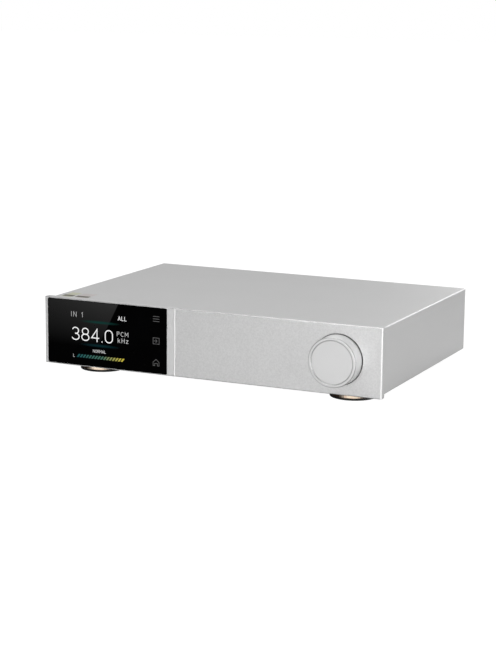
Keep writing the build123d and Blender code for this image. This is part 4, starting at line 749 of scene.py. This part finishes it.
# Soft square lamps aimed at the object: name, place, size and power in watts.
LAMPS = [
    ("side_lamp", Vector((1.2, -0.55, 0.10)), 0.5, 7.7),
    ("back_lamp", Vector((0.3, 1.4, 0.65)), 0.6, 2.7),
    ("top_lamp", Vector((-0.15, -0.1, 1.2)), 0.6, 12.3),
    ("front_lamp", Vector((0.15, -0.55, 0.08)), 0.15, 0.56),
    ("low_back_lamp", Vector((-0.05, 1.4, 0.30)), 0.4, 1.65),
]
LAMP_TARGET = Vector((0, 0, 0.02))
FLOOR_HALF = 6.0             # half the floor's width

CAMERA_PLACE = (0.4542, -1.0072, 0.2397)
CAMERA_YAW, CAMERA_PITCH, CAMERA_ROLL = math.radians(24.67), math.radians(11.19), math.radians(0.59)
CAMERA_LENS_MM = 96.5


def build_stage():
    """Floor, surroundings and soft lamps."""
    mesh = bmesh.new()
    mesh.faces.new([mesh.verts.new((x * FLOOR_HALF, y * FLOOR_HALF, 0)) for x, y in
                    ((-1, -1), (1, -1), (1, 1), (-1, 1))])
    floor = finish_mesh(mesh, "studio_floor_plane", pale_floor())
    build_world()
    build_lamps()


def build_world():
    """Surroundings: white where the camera sees them, graded light where the object does."""
    world = bpy.data.worlds.new("studio")
    bpy.context.scene.world = world
    world.use_nodes = True
    tree = world.node_tree
    seen = tree.nodes["Background"]
    seen.inputs["Color"].default_value = rgba(1, 1, 1)
    seen.inputs["Strength"].default_value = 1.0

    def combine(operation, a, b, clamp=False):
        """Result of one sum; a and b may each be a number or another node's output."""
        node = tree.nodes.new("ShaderNodeMath")
        node.operation, node.use_clamp = operation, clamp
        for socket, value in zip(node.inputs, (a, b)):
            if isinstance(value, bpy.types.NodeSocket):
                tree.links.new(value, socket)
            else:
                socket.default_value = value
        return node.outputs["Value"]

    # Light that reaches the object: an even level plus more from some sides, less so higher up.
    direction = tree.nodes.new("ShaderNodeSeparateXYZ")
    tree.links.new(tree.nodes.new("ShaderNodeTexCoord").outputs["Generated"], direction.inputs["Vector"])
    strength = WORLD_LEVEL
    for letter, sign, extra, fading in WORLD_SIDES:
        share = combine("MULTIPLY", direction.outputs[letter], sign, clamp=True)
        faded = combine("MULTIPLY", direction.outputs["Z"], fading, clamp=True)
        left_over = combine("SUBTRACT", 1.0, faded)
        added = combine("MULTIPLY", combine("MULTIPLY", share, left_over), extra)
        strength = combine("ADD", added, strength)
    lighting = tree.nodes.new("ShaderNodeBackground")
    lighting.inputs["Color"].default_value = rgba(1, 1, 1)
    tree.links.new(strength, lighting.inputs["Strength"])
    path = tree.nodes.new("ShaderNodeLightPath")
    blend = tree.nodes.new("ShaderNodeMixShader")
    tree.links.new(path.outputs["Is Camera Ray"], blend.inputs["Fac"])
    tree.links.new(lighting.outputs["Background"], blend.inputs[1])
    tree.links.new(seen.outputs["Background"], blend.inputs[2])
    tree.links.new(blend.outputs["Shader"], tree.nodes["World Output"].inputs["Surface"])


def build_lamps():
    """Square area lamps around the object, unseen by the camera."""
    for name, place, size, power in LAMPS:
        data = bpy.data.lights.new(name, "AREA")
        data.shape = "SQUARE"
        data.size = size
        data.energy = power
        lamp = bpy.data.objects.new(name, data)
        lamp.location = place
        lamp.visible_camera = False
        aim = LAMP_TARGET - lamp.location
        lamp.rotation_euler = aim.to_track_quat("-Z", "Y").to_euler()
        bpy.context.scene.collection.objects.link(lamp)


def build_camera():
    """Camera in front, to the right and a little above, with a long lens."""
    yaw, pitch, roll = CAMERA_YAW, CAMERA_PITCH, CAMERA_ROLL
    forward = Vector((-math.sin(yaw) * math.cos(pitch), math.cos(yaw) * math.cos(pitch),
                      -math.sin(pitch)))
    level = Vector((math.cos(yaw), math.sin(yaw), 0))
    upright = level.cross(forward)
    right = level * math.cos(roll) + upright * math.sin(roll)
    up = upright * math.cos(roll) - level * math.sin(roll)
    data = bpy.data.cameras.new("camera")
    data.sensor_width = 36.0
    data.lens = CAMERA_LENS_MM
    camera = bpy.data.objects.new("camera", data)
    turn = Matrix((right, up, -forward)).transposed().to_4x4()
    camera.matrix_world = Matrix.Translation(CAMERA_PLACE) @ turn
    bpy.context.scene.collection.objects.link(camera)
    bpy.context.scene.camera = camera


bpy.context.scene.view_settings.view_transform = "Standard"
dress_nodes()
build_readout()
build_labels()
build_stage()
build_camera()
